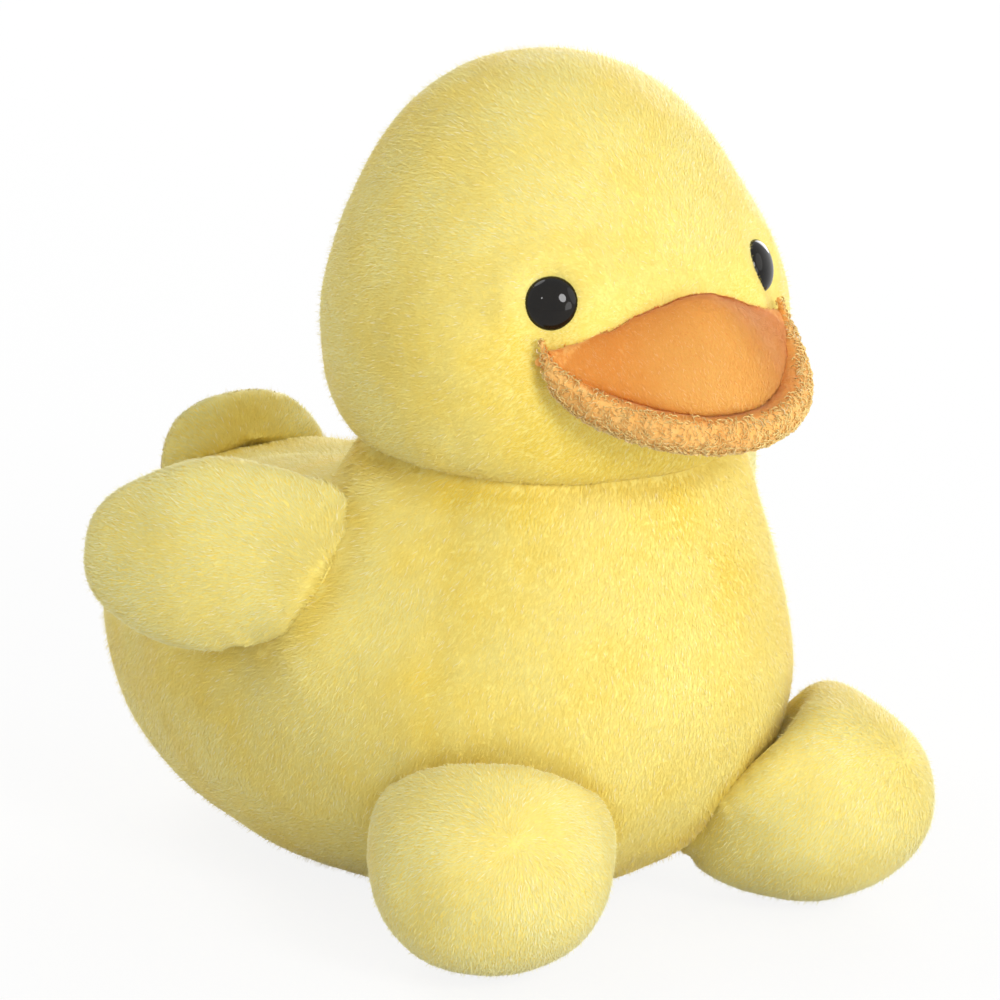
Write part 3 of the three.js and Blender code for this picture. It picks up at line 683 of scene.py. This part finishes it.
def neckShare(place):
    # the neck is filled less at the nape
    return 1 - (1 - neck["rearShare"]) * fade(turnOf(place), *neck["rearFade"])


def creaseShadeShare(place):
    # the painted shade in the crease under the head is lighter in front
    return 1 - neck["frontCalm"] * (1 - fade(turnOf(place), *neck["frontFade"]))


# the body
bodyLook = {
    "voxel": 0.0021, "smooth": 16, "plump": -0.0004, "lumps": 0.0005, "lumpScale": 95,
    "mostSwell": 0.0011, "seamTurn": 63, "seamDepth": 0.0003, "seamWidth": 0.0018, "seamHold": 0.002,
    "wingFill": 0.0032, "wingReach": 0.0085, "chestFade": (0.006, 0.017), "shoulderFade": (0.056, 0.063),
    "shoulderFront": (0.000, 0.010), "tailFill": 0.0018, "footFill": 0.0010, "fillReach": 0.0055,
    "footFade": (0.004, 0.010), "neckFill": 0.0034, "neckReach": 0.009, "seatHold": (0.0015, 0.004),
    "neckHold": (0.064, 0.067),
}
bodyCoat = {
    "comb": (0, 0.5, -0.9), "wingComb": 1.2, "wingFade": (0.002, 0.009), "seatTurn": -0.5,
    "seatComb": (0, 1, -0.1), "neckTop": 0.0675, "seatTop": 0.0012, "seatShare": 0.5,
    "coveredReach": 0.0015, "coveredShare": 0.15, "frontFade": (-4, 8), "frontShort": 0.25,
    "limbCreaseShade": 0.45, "limbFade": (0.0005, 0.004), "headCreaseShade": 0.6, "headFade": (0.0005, 0.005),
    "seamWarm": 0.22, "seamWidth": 0.003, "warm": 0.1, "frontWarm": 0.14, "underHeadShade": 0.2,
    "chestFade": (0.040, 0.066), "limbLong": 0.5, "headLong": 0.3, "longFade": (0.001, 0.004),
}


def seamNearness(place, width):
    # the panel seam down each side of the body
    radius = math.hypot(place.x, place.y - neck["middle"])
    return nearness(math.radians(turnOf(place) - bodyLook["seamTurn"]) * radius, width)


def seamGroove(place, normal):
    return bodyLook["seamDepth"] * seamNearness(place, bodyLook["seamWidth"])


def seamFill(place, normal):
    # the body comes up to meet the limbs and the front of the head
    look = bodyLook
    front = fade(-place.y, *look["chestFade"])
    front += fade(place.z, *look["shoulderFade"]) * fade(-place.y, *look["shoulderFront"])
    lift = look["wingFill"] * nearness(wingGap(place), look["wingReach"]) * min(front, 1)
    lift += look["tailFill"] * nearness(tailGap(place), look["fillReach"])
    lift += look["footFill"] * nearness(footGap(place), look["fillReach"]) * fade(place.z, *look["footFade"])
    lift += look["neckFill"] * nearness(headGap(place), look["neckReach"]) * neckShare(place)
    return -lift


def bodyHeld(place):
    back = nearness(place.x, bodyLook["seamHold"]) if place.y > 0 else 0
    low = 1 - fade(place.z, *bodyLook["seatHold"])
    high = fade(place.z, *bodyLook["neckHold"])
    return max(seamNearness(place, bodyLook["seamHold"]), back, low, high)


bodyLook["held"] = bodyHeld
bodyLook["grooves"] = [seamGroove, seamFill]
bodySkin = softSkin("bodySkin", "body_skin", bodyLook, yellowCloth)


def bodyPileRule(place, normal):
    coat = bodyCoat
    flow = Vector(coat["comb"])
    flow.y += coat["wingComb"] * (1 - fade(wingGap(place), *coat["wingFade"]))
    if normal.z < coat["seatTurn"]:
        flow = Vector(coat["seatComb"])
    shown = 1.0
    if place.z > coat["neckTop"]:
        shown = 0.0
    if place.z < coat["seatTop"] and normal.z < underside:
        shown = coat["seatShare"]
    if covered(place, normal, limbTree, coat["coveredReach"]):
        shown = coat["coveredShare"]
    limb, head = limbGap(place), headGap(place)
    front = fade(bodyLook["seamTurn"] - turnOf(place), *coat["frontFade"])
    # painted shade: deeper golden in the creases at the limbs and under the head, and rising up the chest to
    # the head; the seam, a small base amount and the front add a deeper golden too
    warm = coat["limbCreaseShade"] * (1 - fade(limb, *coat["limbFade"]))
    warm += coat["headCreaseShade"] * creaseShadeShare(place) * (1 - fade(head, *coat["headFade"]))
    seam = coat["seamWarm"] * seamNearness(place, coat["seamWidth"])
    chest = coat["underHeadShade"] * front * fade(place.z, *coat["chestFade"])
    warm += seam + coat["warm"] + coat["frontWarm"] * front + chest
    length = 1.0 - coat["frontShort"] * front + coat["limbLong"] * (1 - fade(limb, *coat["longFade"]))
    length += coat["headLong"] * (1 - fade(head, *coat["longFade"]))
    return flow, shown, length, min(warm, 1)


setWeights(bodySkin, bodyPileRule)

# the head
headLook = {
    "voxel": 0.0019, "smooth": 16, "plump": -0.0002, "lumps": 0.0003, "lumpScale": 110,
    "mostSwell": 0.0009, "eyeRim": 0.0009, "eyeRimRadius": 0.0058, "eyeRimWidth": 0.0024,
    "chinFill": 0.0014, "chinReach": 0.008, "cheek": 0.0013, "cheekAt": (0.0300, -0.0350, 0.0880),
    "cheekReach": 0.011, "mouthDent": 0.0016, "mouthAt": (0.0205, -0.0460, 0.0890), "mouthReach": 0.0045,
    "eyeHold": (0.0035, 0.006), "pocketHold": (0.0325, 0.036), "billHold": (0.0005, 0.003),
}
headCoat = {
    "comb": (0, 0.8, -0.45), "mouthAt": (0, -0.068, 0.084), "mouthComb": 0.7, "pocketTop": 0.0705,
    "pocket": 0.0325, "eyeBare": 0.0042, "billBare": 0.0006, "frontFade": (0.025, 0.05),
    "frontShort": 0.3, "billNap": (0.5, 0.5), "billFade": (0.0005, 0.006), "eyeNap": (0.8, 0.2),
    "eyeFade": (0.005, 0.008), "neckLong": 0.5, "longFade": (0.001, 0.004), "neckCreaseShade": 0.5,
    "neckFade": (0.0006, 0.004), "billCreaseShade": 0.4, "billShadeFade": (0.001, 0.006), "underBillShade": 0.6,
    "chinTop": 0.084, "chinHeight": 0.008, "chinFade": (0.036, 0.048), "cheekWarm": 0.45,
    "cheekFade": (0.082, 0.102),
}


def eyeRim(place, normal):
    near = (eyeGap(place) - headLook["eyeRimRadius"]) / headLook["eyeRimWidth"]
    return -headLook["eyeRim"] * math.exp(-near ** 2)


def cheekAndChin(place, normal):
    look = headLook
    mirrored = Vector((abs(place.x), place.y, place.z))
    chin = nearness(bodyGap(place), look["chinReach"]) * neckShare(place)
    cheek = nearness((mirrored - Vector(look["cheekAt"])).length, look["cheekReach"])
    corner = nearness((mirrored - Vector(look["mouthAt"])).length, look["mouthReach"])
    return look["mouthDent"] * corner - look["cheek"] * cheek - look["chinFill"] * chin


def pocketGap(place):
    return (place - pivots["head_nod"]).length


def headHeld(place):
    eyes = 1 - fade(eyeGap(place), *headLook["eyeHold"])
    pocket = 1 - fade(pocketGap(place), *headLook["pocketHold"])
    return max(eyes, pocket, 1 - fade(billGap(place), *headLook["billHold"]))


headLook["held"] = headHeld
headLook["grooves"] = [eyeRim, cheekAndChin]
headSkin = softSkin("headSkin", "head_skin", headLook, yellowCloth)


def napBy(distance, span, nap):
    # the length of the pile near an edge, and what it gains further out
    return nap[0] + nap[1] * fade(distance, *span)


def headPileRule(place, normal):
    coat = headCoat
    bill, near, body = billGap(place), eyeGap(place), bodyGap(place)
    flow = Vector(coat["comb"]) + away(place, Vector(coat["mouthAt"])) * coat["mouthComb"]
    pocket = place.z < coat["pocketTop"] and pocketGap(place) < coat["pocket"]
    shown = 0.0 if pocket or near < coat["eyeBare"] or bill < coat["billBare"] else 1.0
    front = fade(-place.y, *coat["frontFade"])
    length = (1.0 - coat["frontShort"] * front) * napBy(bill, coat["billFade"], coat["billNap"])
    length *= napBy(near, coat["eyeFade"], coat["eyeNap"])
    length *= 1 + coat["neckLong"] * (1 - fade(body, *coat["longFade"]))
    # painted shade: deeper golden in the crease at the neck, beside the bill and under the bill; low on the
    # front of the face it is deeper golden too
    warm = coat["neckCreaseShade"] * creaseShadeShare(place) * (1 - fade(body, *coat["neckFade"]))
    warm += coat["billCreaseShade"] * (1 - fade(bill, *coat["billShadeFade"]))
    chin = fade(coat["chinTop"] - place.z, 0.0, coat["chinHeight"]) * fade(-place.y, *coat["chinFade"])
    cheek = (1 - fade(place.z, *coat["cheekFade"])) * front
    warm += coat["underBillShade"] * chin + coat["cheekWarm"] * cheek
    return flow, shown, length, min(warm, 1)


setWeights(headSkin, headPileRule)

# the limbs
wingLook = {
    "voxel": 0.0014, "smooth": 14, "plump": 0.0001, "lumps": 0.0003, "lumpScale": 120,
    "mostSwell": 0.0008, "pinchAt": (0.036, -0.0205, 0.0520), "press": 0.0006, "pressReach": 0.006,
    "topRise": 0.0014, "topFade": (0.2, 0.9), "rearFade": (-0.019, -0.008), "wedgeFade": (0.001, 0.021),
    "wedgePower": 1.3, "wedgeLeft": 0.0017, "nap": 0.95, "warmReach": 0.02, "droop": 0.0,
}
footLook = {
    "voxel": 0.0015, "smooth": 16, "plump": -0.0006, "lumps": 0.0004, "lumpScale": 110,
    "mostSwell": 0.0008, "topRise": 0.0028, "topReach": 0.009, "topFade": (-0.1, 0.7), "tuck": 0.0008,
    "tuckReach": 0.0022, "rootAt": (0.0275, -0.0445, 0.016), "splay": 24, "toeRise": 0.42,
    "toeReach": 0.019, "nap": 0.85, "warmReach": 0.012, "droop": 0.6,
}
tailLook = {
    "voxel": 0.0011, "smooth": 16, "plump": -0.0003, "lumps": 0.0002, "lumpScale": 150,
    "mostSwell": 0.0006, "dent": 0.0020, "dentAt": (0, 0.0515, 0.0535), "dentWidth": 0.0085,
    "dentHeight": 0.0034, "dentBack": 0.003, "fanAt": (0, 0.053, 0.040), "nap": 0.85, "hollowShade": 0.35,
    "rootCreaseShade": 0.2,
}
limbHold = {"body": (0.0006, 0.003), "floor": (0.001, 0.003)}
limbCoat = {
    "seatTop": 0.001, "seatShare": 0.35, "facing": -0.6, "hiddenReach": 0.002, "hiddenShare": 0.1,
    "warm": 0.4, "warmFrom": 0.001, "rootFade": (0.001, 0.004),
}
limbs = {}


def limbHeld(place):
    return max(1 - fade(bodyGap(place), *limbHold["body"]), 1 - fade(place.z, *limbHold["floor"]))


for look in (wingLook, footLook, tailLook):
    look["held"] = limbHeld


def limbRule(centre, look):
    def rule(place, normal):
        coat = limbCoat
        gap = bodyGap(place)
        shown = coat["seatShare"] if place.z < coat["seatTop"] and normal.z < underside else 1.0
        if normal.dot(bodySurface.find_nearest(place)[1]) < coat["facing"] and gap < coat["hiddenReach"]:
            shown = coat["hiddenShare"]
        # deeper golden around the point that the nap fans out from, and painted shade in the crease where the
        # limb meets the body
        warm = coat["warm"] * (1 - fade((place - centre).length, coat["warmFrom"], look["warmReach"]))
        warm += coat["warm"] * (1 - fade(gap, *coat["rootFade"]))
        return away(place, centre) + Vector((0, 0, -look["droop"])), shown, look["nap"], min(warm, 1)
    return rule


def footTop(place, normal):
    gap, upward = bodyGap(place), fade(normal.z, *footLook["topFade"])
    tuck = footLook["tuck"] * nearness(gap, footLook["tuckReach"]) * (1 - upward)
    return tuck - footLook["topRise"] * nearness(gap, footLook["topReach"]) * upward


def wingWedge(place):
    # the front of the wing thins out on the body
    share = fade(-place.y, *wingLook["wedgeFade"]) ** wingLook["wedgePower"]
    near = bodySurface.find_nearest(place)
    slack = max(near[3] - wingLook["wedgeLeft"], 0)
    return place - (place - near[0]).normalized() * slack * share


def wingTop(pinch):
    # pressed in at the front seam, plumper on top behind it
    def rule(place, normal):
        press = wingLook["press"] * nearness((place - pinch).length, wingLook["pressReach"])
        top = fade(normal.z, *wingLook["topFade"]) * fade(place.y, *wingLook["rearFade"])
        return press - wingLook["topRise"] * top
    return rule


footLook["grooves"] = [footTop]
wingLook["shape"] = wingWedge
fillingLook = {"voxel": 0.0016, "smooth": 6, "plump": -0.0007, "shape": wingWedge}
fillings = {}
for side, hand in ((-1, "right"), (1, "left")):
    pinch = sided(side, wingLook["pinchAt"])
    wingLook["grooves"] = [wingTop(pinch)]
    limbs[hand + "Wing"] = softSkin(hand + "WingSkin", hand + "_wing_skin", wingLook, yellowCloth)
    fillings[hand] = softSkin(hand + "WingFilling", hand + "_wing_stuffing", fillingLook, fibre)
    setWeights(limbs[hand + "Wing"], limbRule(pinch, wingLook))
    limbs[hand + "Foot"] = softSkin(hand + "FootSkin", hand + "_foot_skin", footLook, yellowCloth)
    splay = math.radians(footLook["splay"])
    ahead = Vector((side * math.sin(splay), -math.cos(splay), footLook["toeRise"]))
    toe = sided(side, footLook["rootAt"]) + ahead * footLook["toeReach"]
    setWeights(limbs[hand + "Foot"], limbRule(toe, footLook))


def tailDent(place, normal=None):
    centre = Vector(tailLook["dentAt"])
    if place.y > centre.y + tailLook["dentBack"]:
        return 0
    across, rise = (place.x - centre.x) / tailLook["dentWidth"], (place.z - centre.z) / tailLook["dentHeight"]
    return tailLook["dent"] * math.exp(-across ** 2 - rise ** 2)


tailLook["grooves"] = [tailDent]
limbs["tail"] = softSkin("tailSkin", "tail_skin", tailLook, yellowCloth)


def tailPileRule(place, normal):
    # painted shade: deeper golden in the hollow of the tail and in the crease at its root
    warm = tailLook["hollowShade"] * (tailDent(place) / tailLook["dent"])
    warm += tailLook["rootCreaseShade"] * (1 - fade(bodyGap(place), *limbCoat["rootFade"]))
    return away(place, Vector(tailLook["fanAt"])), 1.0, tailLook["nap"], min(warm, 1)


setWeights(limbs["tail"], tailPileRule)
print("skins made")

# the yellow pile, in layers so that no piece grows too large
longPile = {
    "perSquareMetre": 13.8e6, "seed": 1, "seedStep": 7, "length": (0.0008, 0.0013), "width": 0.00012,
    "rise": (2, 13), "rare": 1.6, "stray": 0.25, "sway": [(90, 0.8), (350, 0.5)], "ruffle": 0.10,
    "tuft": 0.6, "tuftScale": 170, "soft": True, "floor": 0.0002,
}
fuzzPile = dict(longPile, perSquareMetre=1.3e6, seed=31, length=(0.0008, 0.0014), width=0.00007,
                rise=(20, 55), rare=1.3, ruffle=0.0, soft=False, stray=0.6)
coats = []
for name, skin, layers, body in (
        ("bodyPile", bodySkin, 5, "body"), ("headPile", headSkin, 3, "head"),
        ("rightWingPile", limbs["rightWing"], 1, "right_wing"),
        ("leftWingPile", limbs["leftWing"], 1, "left_wing"),
        ("rightFootPile", limbs["rightFoot"], 1, "right_foot"),
        ("leftFootPile", limbs["leftFoot"], 1, "left_foot"), ("tailPile", limbs["tail"], 1, "tail")):
    finish = yellowPile if layers > 1 else limbPaintedLightPile
    for layer in range(layers):
        pile = dict(longPile, seed=longPile["seed"] + layer * longPile["seedStep"],
                    perSquareMetre=longPile["perSquareMetre"] / layers)
        coats.append((growPile(name + "ABCDEF"[layer], skin, pile, finish, blades), body))
    coats.append((growPile(name + "Fuzz", skin, fuzzPile, finish, spikes), body))
print("yellow pile grown")

# the bill
domeLook = {
    "voxel": 0.0008, "smooth": 14, "plump": 0.0004, "cornerFade": (0.010, 0.0192), "cornerPower": 1.3,
    "cornerOut": (0.0042, 0.0036, 0.0002), "sideDrop": 0.0015, "sideFade": (0.002, 0.010),
    "heightFade": (0.082, 0.091), "rearPush": 0.0014, "rearFade": (-0.056, -0.050),
}
domeCoat = {
    "comb": (0, -0.8, -0.5), "rearFrom": -0.05, "rearShare": 0.2, "rearShade": 0.8,
    "rearFade": (-0.063, -0.051), "sideShade": 0.3, "sideFade": (0.010, 0.016),
}
shortPile = {
    "perSquareMetre": 34.0e6, "seed": 5, "length": (0.0005, 0.0009), "width": 0.00011, "rise": (4, 18),
    "rare": 1.4, "stray": 0.4, "sway": [(250, 0.8)], "ruffle": 0.08, "tuft": 0.4, "tuftScale": 260,
    "soft": True, "floor": 0.0,
}
lipLook = {
    "voxel": 0.0006, "smooth": 8, "plump": 0.0003, "reach": 0.007, "endPull": 0.0008,
    "endFade": (0.015, 0.021), "innerAt": (0, -0.045, 0.088), "innerShare": 0.7, "upShare": 0.7,
    "innerFade": (0.45, 0.72), "curlScale": 900, "curlStep": 9, "innerComb": -0.02, "innerWarm": 0.35,
}
terryPile = {
    "perSquareMetre": 4.4e6, "seed": 3, "length": (0.0006, 0.0010), "width": 0.0008, "rise": (-60, 60),
    "rare": 1.0, "stray": 1.0, "sway": [(900, 2.0)], "ruffle": 0.0, "tuft": 0.0, "tuftScale": 100,
    "soft": False, "floor": 0.0,
}


def domeShape(place):
    # draws the corners of the dome out to the ends of the lip
    look = domeLook
    side = 1 if place.x > 0 else -1
    pull = fade(abs(place.x), *look["cornerFade"]) ** look["cornerPower"]
    drop = look["sideDrop"] * fade(abs(place.x), *look["sideFade"]) * fade(place.z, *look["heightFade"])
    push = look["rearPush"] * fade(place.y, *look["rearFade"]) * (1 - pull)
    return place + sided(side, look["cornerOut"]) * pull + Vector((0, push, -drop))


def domePileRule(place, normal):
    shown = 1.0 if place.y < domeCoat["rearFrom"] else domeCoat["rearShare"]
    # painted shade: the dome is deeper orange towards the rear and on the sides, paler at the lower front
    warm = domeCoat["rearShade"] * fade(place.y, *domeCoat["rearFade"])
    warm += domeCoat["sideShade"] * fade(abs(place.x), *domeCoat["sideFade"])
    return Vector(domeCoat["comb"]), shown, 1.0, warm


def lipShape(place):
    return place + Vector((0, lipLook["endPull"], 0)) * fade(abs(place.x), *lipLook["endFade"])


domeLook["shape"] = domeShape
domeSkin = softSkin("billDome", "upper_bill_skin", domeLook, orangeCloth)
setWeights(domeSkin, domePileRule)
domePile = growPile("billDomePile", domeSkin, shortPile, orangePile, blades)
lipLook["shape"] = lipShape
lipSkin = softSkin("billLip", "lower_bill_skin", lipLook, terryCloth)


def loopMesh(name, loop):
    bm = bmesh.new()
    bmesh.ops.create_circle(bm, segments=loop["sides"], radius=loop["thread"])
    bmesh.ops.rotate(bm, verts=bm.verts, matrix=Matrix.Rotation(math.pi / 2, 3, "X"))
    bmesh.ops.translate(bm, verts=bm.verts, vec=(loop["radius"], 0, 0))
    bmesh.ops.spin(bm, geom=bm.edges[:] + bm.verts[:], cent=(0, 0, 0), axis=(0, 1, 0),
                   dvec=(0, loop["twist"] / loop["steps"], 0), angle=-math.radians(loop["sweep"]),
                   steps=loop["steps"], use_duplicate=False)
    bmesh.ops.recalc_face_normals(bm, faces=bm.faces)
    layer = bm.loops.layers.uv.new("UVMap")
    for face in bm.faces:
        face.smooth = True
        for corner in face.loops:
            corner[layer].uv = (0.5, along(corner.vert.co.z))
    return meshOf(name, bm)


wideLoop = {"sides": 3, "thread": 0.15, "radius": 0.55, "sweep": 240, "steps": 5, "twist": 0.35}
tightLoop = {"sides": 3, "thread": 0.17, "radius": 0.42, "sweep": 300, "steps": 6, "twist": -0.5}
loops = [
    addObject("loopA", loopMesh("loopA", wideLoop)),
    addObject("loopB", loopMesh("loopB", tightLoop)),
]


def inward(place, normal):
    # how far a place on the lip faces up and in, where the cloth is smooth
    towards = (Vector(lipLook["innerAt"]) - place).normalized()
    facing = normal.dot(towards) * lipLook["innerShare"] + normal.z * lipLook["upShare"]
    return fade(facing, *lipLook["innerFade"])


def curl(place):
    steps = [Vector((lipLook["curlStep"] * i, 0, 0)) for i in range(3)]
    return Vector([noise.noise(place * lipLook["curlScale"] + step) for step in steps])


def loopRule(place, normal):
    return curl(place), 1.0 - inward(place, normal), 1.0, 0.0


def lipPileRule(place, normal):
    return Vector((place.x, lipLook["innerComb"], 0)), inward(place, normal), 1.0, lipLook["innerWarm"]


setWeights(lipSkin, loopRule)
lipPile = growPile("billLipLoops", lipSkin, terryPile, loopPile, loops)
setWeights(lipSkin, lipPileRule)
lipNap = growPile("billLipPile", lipSkin, dict(shortPile, seed=8), orangePile, blades)
for helper in blades + spikes + loops:
    bpy.data.objects.remove(helper)
print("bill made")

# the eyes
eye = {
    "radius": 0.00375, "rim": 0.0004, "dome": 0.0023, "sunk": 0.0010, "steps": 12, "sides": 48,
    "back": -0.002, "backShare": 0.9, "shoulder": -0.0006, "weld": 0.00002, "headAt": (0, -0.02, 0.085),
}


def eyePlace(node):
    # the eye's outermost point and the way that it looks
    cad = bmesh.new()
    cad.from_mesh(nodes[node].data)
    bmesh.ops.remove_doubles(cad, verts=cad.verts, dist=weld)
    far = max(cad.verts, key=lambda v: (v.co - Vector(eye["headAt"])).length)
    middle = sum((v.co for v in cad.verts), Vector()) / len(cad.verts)
    tip, outward = far.co.copy(), (far.co - middle).normalized()
    cad.free()
    return tip, outward


def eyeObject(name, node):
    tip, outward = eyePlace(node)
    bm = bmesh.new()
    outline = [(eye["radius"] * eye["backShare"], eye["back"]), (eye["radius"], eye["shoulder"]),
               (eye["radius"], eye["rim"])]
    for i in range(1, eye["steps"]):
        angle = math.pi / 2 * i / eye["steps"]
        rise = eye["rim"] + (eye["dome"] - eye["rim"]) * math.sin(angle)
        outline.append((eye["radius"] * math.cos(angle), rise))
    outline.append((0, eye["dome"]))
    last = bm.verts.new((0, 0, eye["back"]))
    for x, z in outline:
        new = bm.verts.new((x, 0, z))
        bm.edges.new((last, new))
        last = new
    bmesh.ops.spin(bm, geom=bm.verts[:] + bm.edges[:], cent=(0, 0, 0), axis=(0, 0, 1), angle=2 * math.pi,
                   steps=eye["sides"], use_merge=True)
    bmesh.ops.remove_doubles(bm, verts=bm.verts, dist=eye["weld"])
    bmesh.ops.recalc_face_normals(bm, faces=bm.faces)
    bmesh.ops.rotate(bm, verts=bm.verts, matrix=Vector((0, 0, 1)).rotation_difference(outward).to_matrix())
    bmesh.ops.translate(bm, verts=bm.verts, vec=tip - outward * (eye["dome"] + eye["sunk"]))
    for face in bm.faces:
        face.smooth = True
    thing = addObject(name, meshOf(name, bm))
    thing.data.materials.append(eyeBlack)
    return thing


eyes = {hand: eyeObject(hand + "Eye", hand + "_eye") for hand in ("right", "left")}
print("eyes made")

# riding and replacing
def seat(piece, body, slot, *replaced, fill=None):
    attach(piece, body)
    if replaced:
        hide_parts(*replaced)


seat(bodySkin, "body", "yellow_plush", "body_skin", fill=0.7)
seat(headSkin, "head", "yellow_plush", "head_skin", fill=0.8)
for hand in ("right", "left"):
    seat(limbs[hand + "Wing"], hand + "_wing", "yellow_plush", hand + "_wing_skin", fill=0.5)
    seat(fillings[hand], hand + "_wing", "white_fibre", hand + "_wing_stuffing", fill=0.5)
    seat(limbs[hand + "Foot"], hand + "_foot", "yellow_plush", hand + "_foot_skin", fill=0.7)
    seat(eyes[hand], "head", "black_plastic", hand + "_eye")
seat(limbs["tail"], "tail", "yellow_plush", "tail_skin", fill=0.4)
seat(domeSkin, "head", "orange_plush", "upper_bill_skin", fill=0.7)
seat(lipSkin, "head", "orange_terry", "lower_bill_skin", fill=0.6)
seat(domePile, "head", "orange_plush")
seat(lipPile, "head", "orange_terry")
seat(lipNap, "head", "orange_plush")
for coat, body in coats:
    seat(coat, body, "yellow_plush")

# floor and light
floor = {
    "size": 3.0, "tone": (0.9, 0.9, 0.9, 1), "roughness": 0.9, "specular": 0.1, "glow": 1.0,
    "glowShare": 0.88,
}
ambient = 0.47
lamps = {
    "key": {"place": (0.85, -0.95, 0.62), "size": 1.1, "power": 3.0},
    "rear": {"place": (1.05, 0.75, 0.40), "size": 0.9, "power": 10.0},
    "low": {"place": (0.15, -1.0, 0.09), "size": 0.45, "power": 1.6},
    "top": {"place": (-0.35, 0.45, 1.05), "size": 0.6, "power": 3.2},
    "catch": {"turn": -8, "rise": 24, "size": 0.33, "power": 4.6},
    "spark": {"turn": -60, "rise": 24, "size": 0.06, "power": 0.2},
}
lampAim = Vector((0, -0.02, 0.06))
faceAt = Vector((0, -0.02, 0.09))  # the lamps given by their bearing mirror in the eyes


def straightSight(tree):
    # 1 for what the camera sees itself or in a mirror
    rays = wire(tree, "ShaderNodeLightPath", (-500, 200)).outputs
    sockets = {0: rays["Is Camera Ray"], 1: rays["Is Glossy Ray"]}
    return made(tree, "ShaderNodeMath", sockets, place=(-400, 200), operation="MAXIMUM")


def blended(tree, share, first, second, output):
    sockets = {0: share, 1: first.outputs[0], 2: second.outputs[0]}
    blend = made(tree, "ShaderNodeMixShader", sockets, place=(200, 0))
    tree.links.new(blend, tree.nodes[output].inputs["Surface"])


bm = bmesh.new()
bmesh.ops.create_grid(bm, x_segments=1, y_segments=1, size=floor["size"])
ground = addObject("floor", meshOf("floor", bm))
material, tree, shader = newMaterial("paleFloor", floor["roughness"], floor["specular"])
shader.inputs["Base Color"].default_value = floor["tone"]
glow = made(tree, "ShaderNodeEmission", {"Strength": floor["glow"]}, place=(-200, -200)).node
sockets = {0: straightSight(tree), 1: floor["glowShare"]}
share = made(tree, "ShaderNodeMath", sockets, place=(-300, 200), operation="MULTIPLY")
blended(tree, share, shader, glow, "Material Output")
ground.data.materials.append(material)

world = bpy.data.worlds.new("studio")
scene.world = world
world.use_nodes = True
tree = world.node_tree
backdrop = tree.nodes["Background"]
white = wire(tree, "ShaderNodeBackground", (0, -200))
for light, strength in ((backdrop, ambient), (white, 1.0)):
    light.inputs["Color"].default_value = (1, 1, 1, 1)
    light.inputs["Strength"].default_value = strength
blended(tree, straightSight(tree), backdrop, white, "World Output")


def softbox(name, place, size, power):
    data = bpy.data.lights.new(name, "AREA")
    data.shape = "DISK"
    data.size = size
    data.energy = power
    lamp = bpy.data.objects.new(name, data)
    lamp.location = place
    lamp.rotation_euler = (lampAim - place).to_track_quat("-Z", "Y").to_euler()
    scene.collection.objects.link(lamp)


for name, lamp in lamps.items():
    place = bearing(lamp["turn"], lamp["rise"]) + faceAt if "turn" in lamp else Vector(lamp["place"])
    softbox(name, place, lamp["size"], lamp["power"])
print("floor and lamps placed")
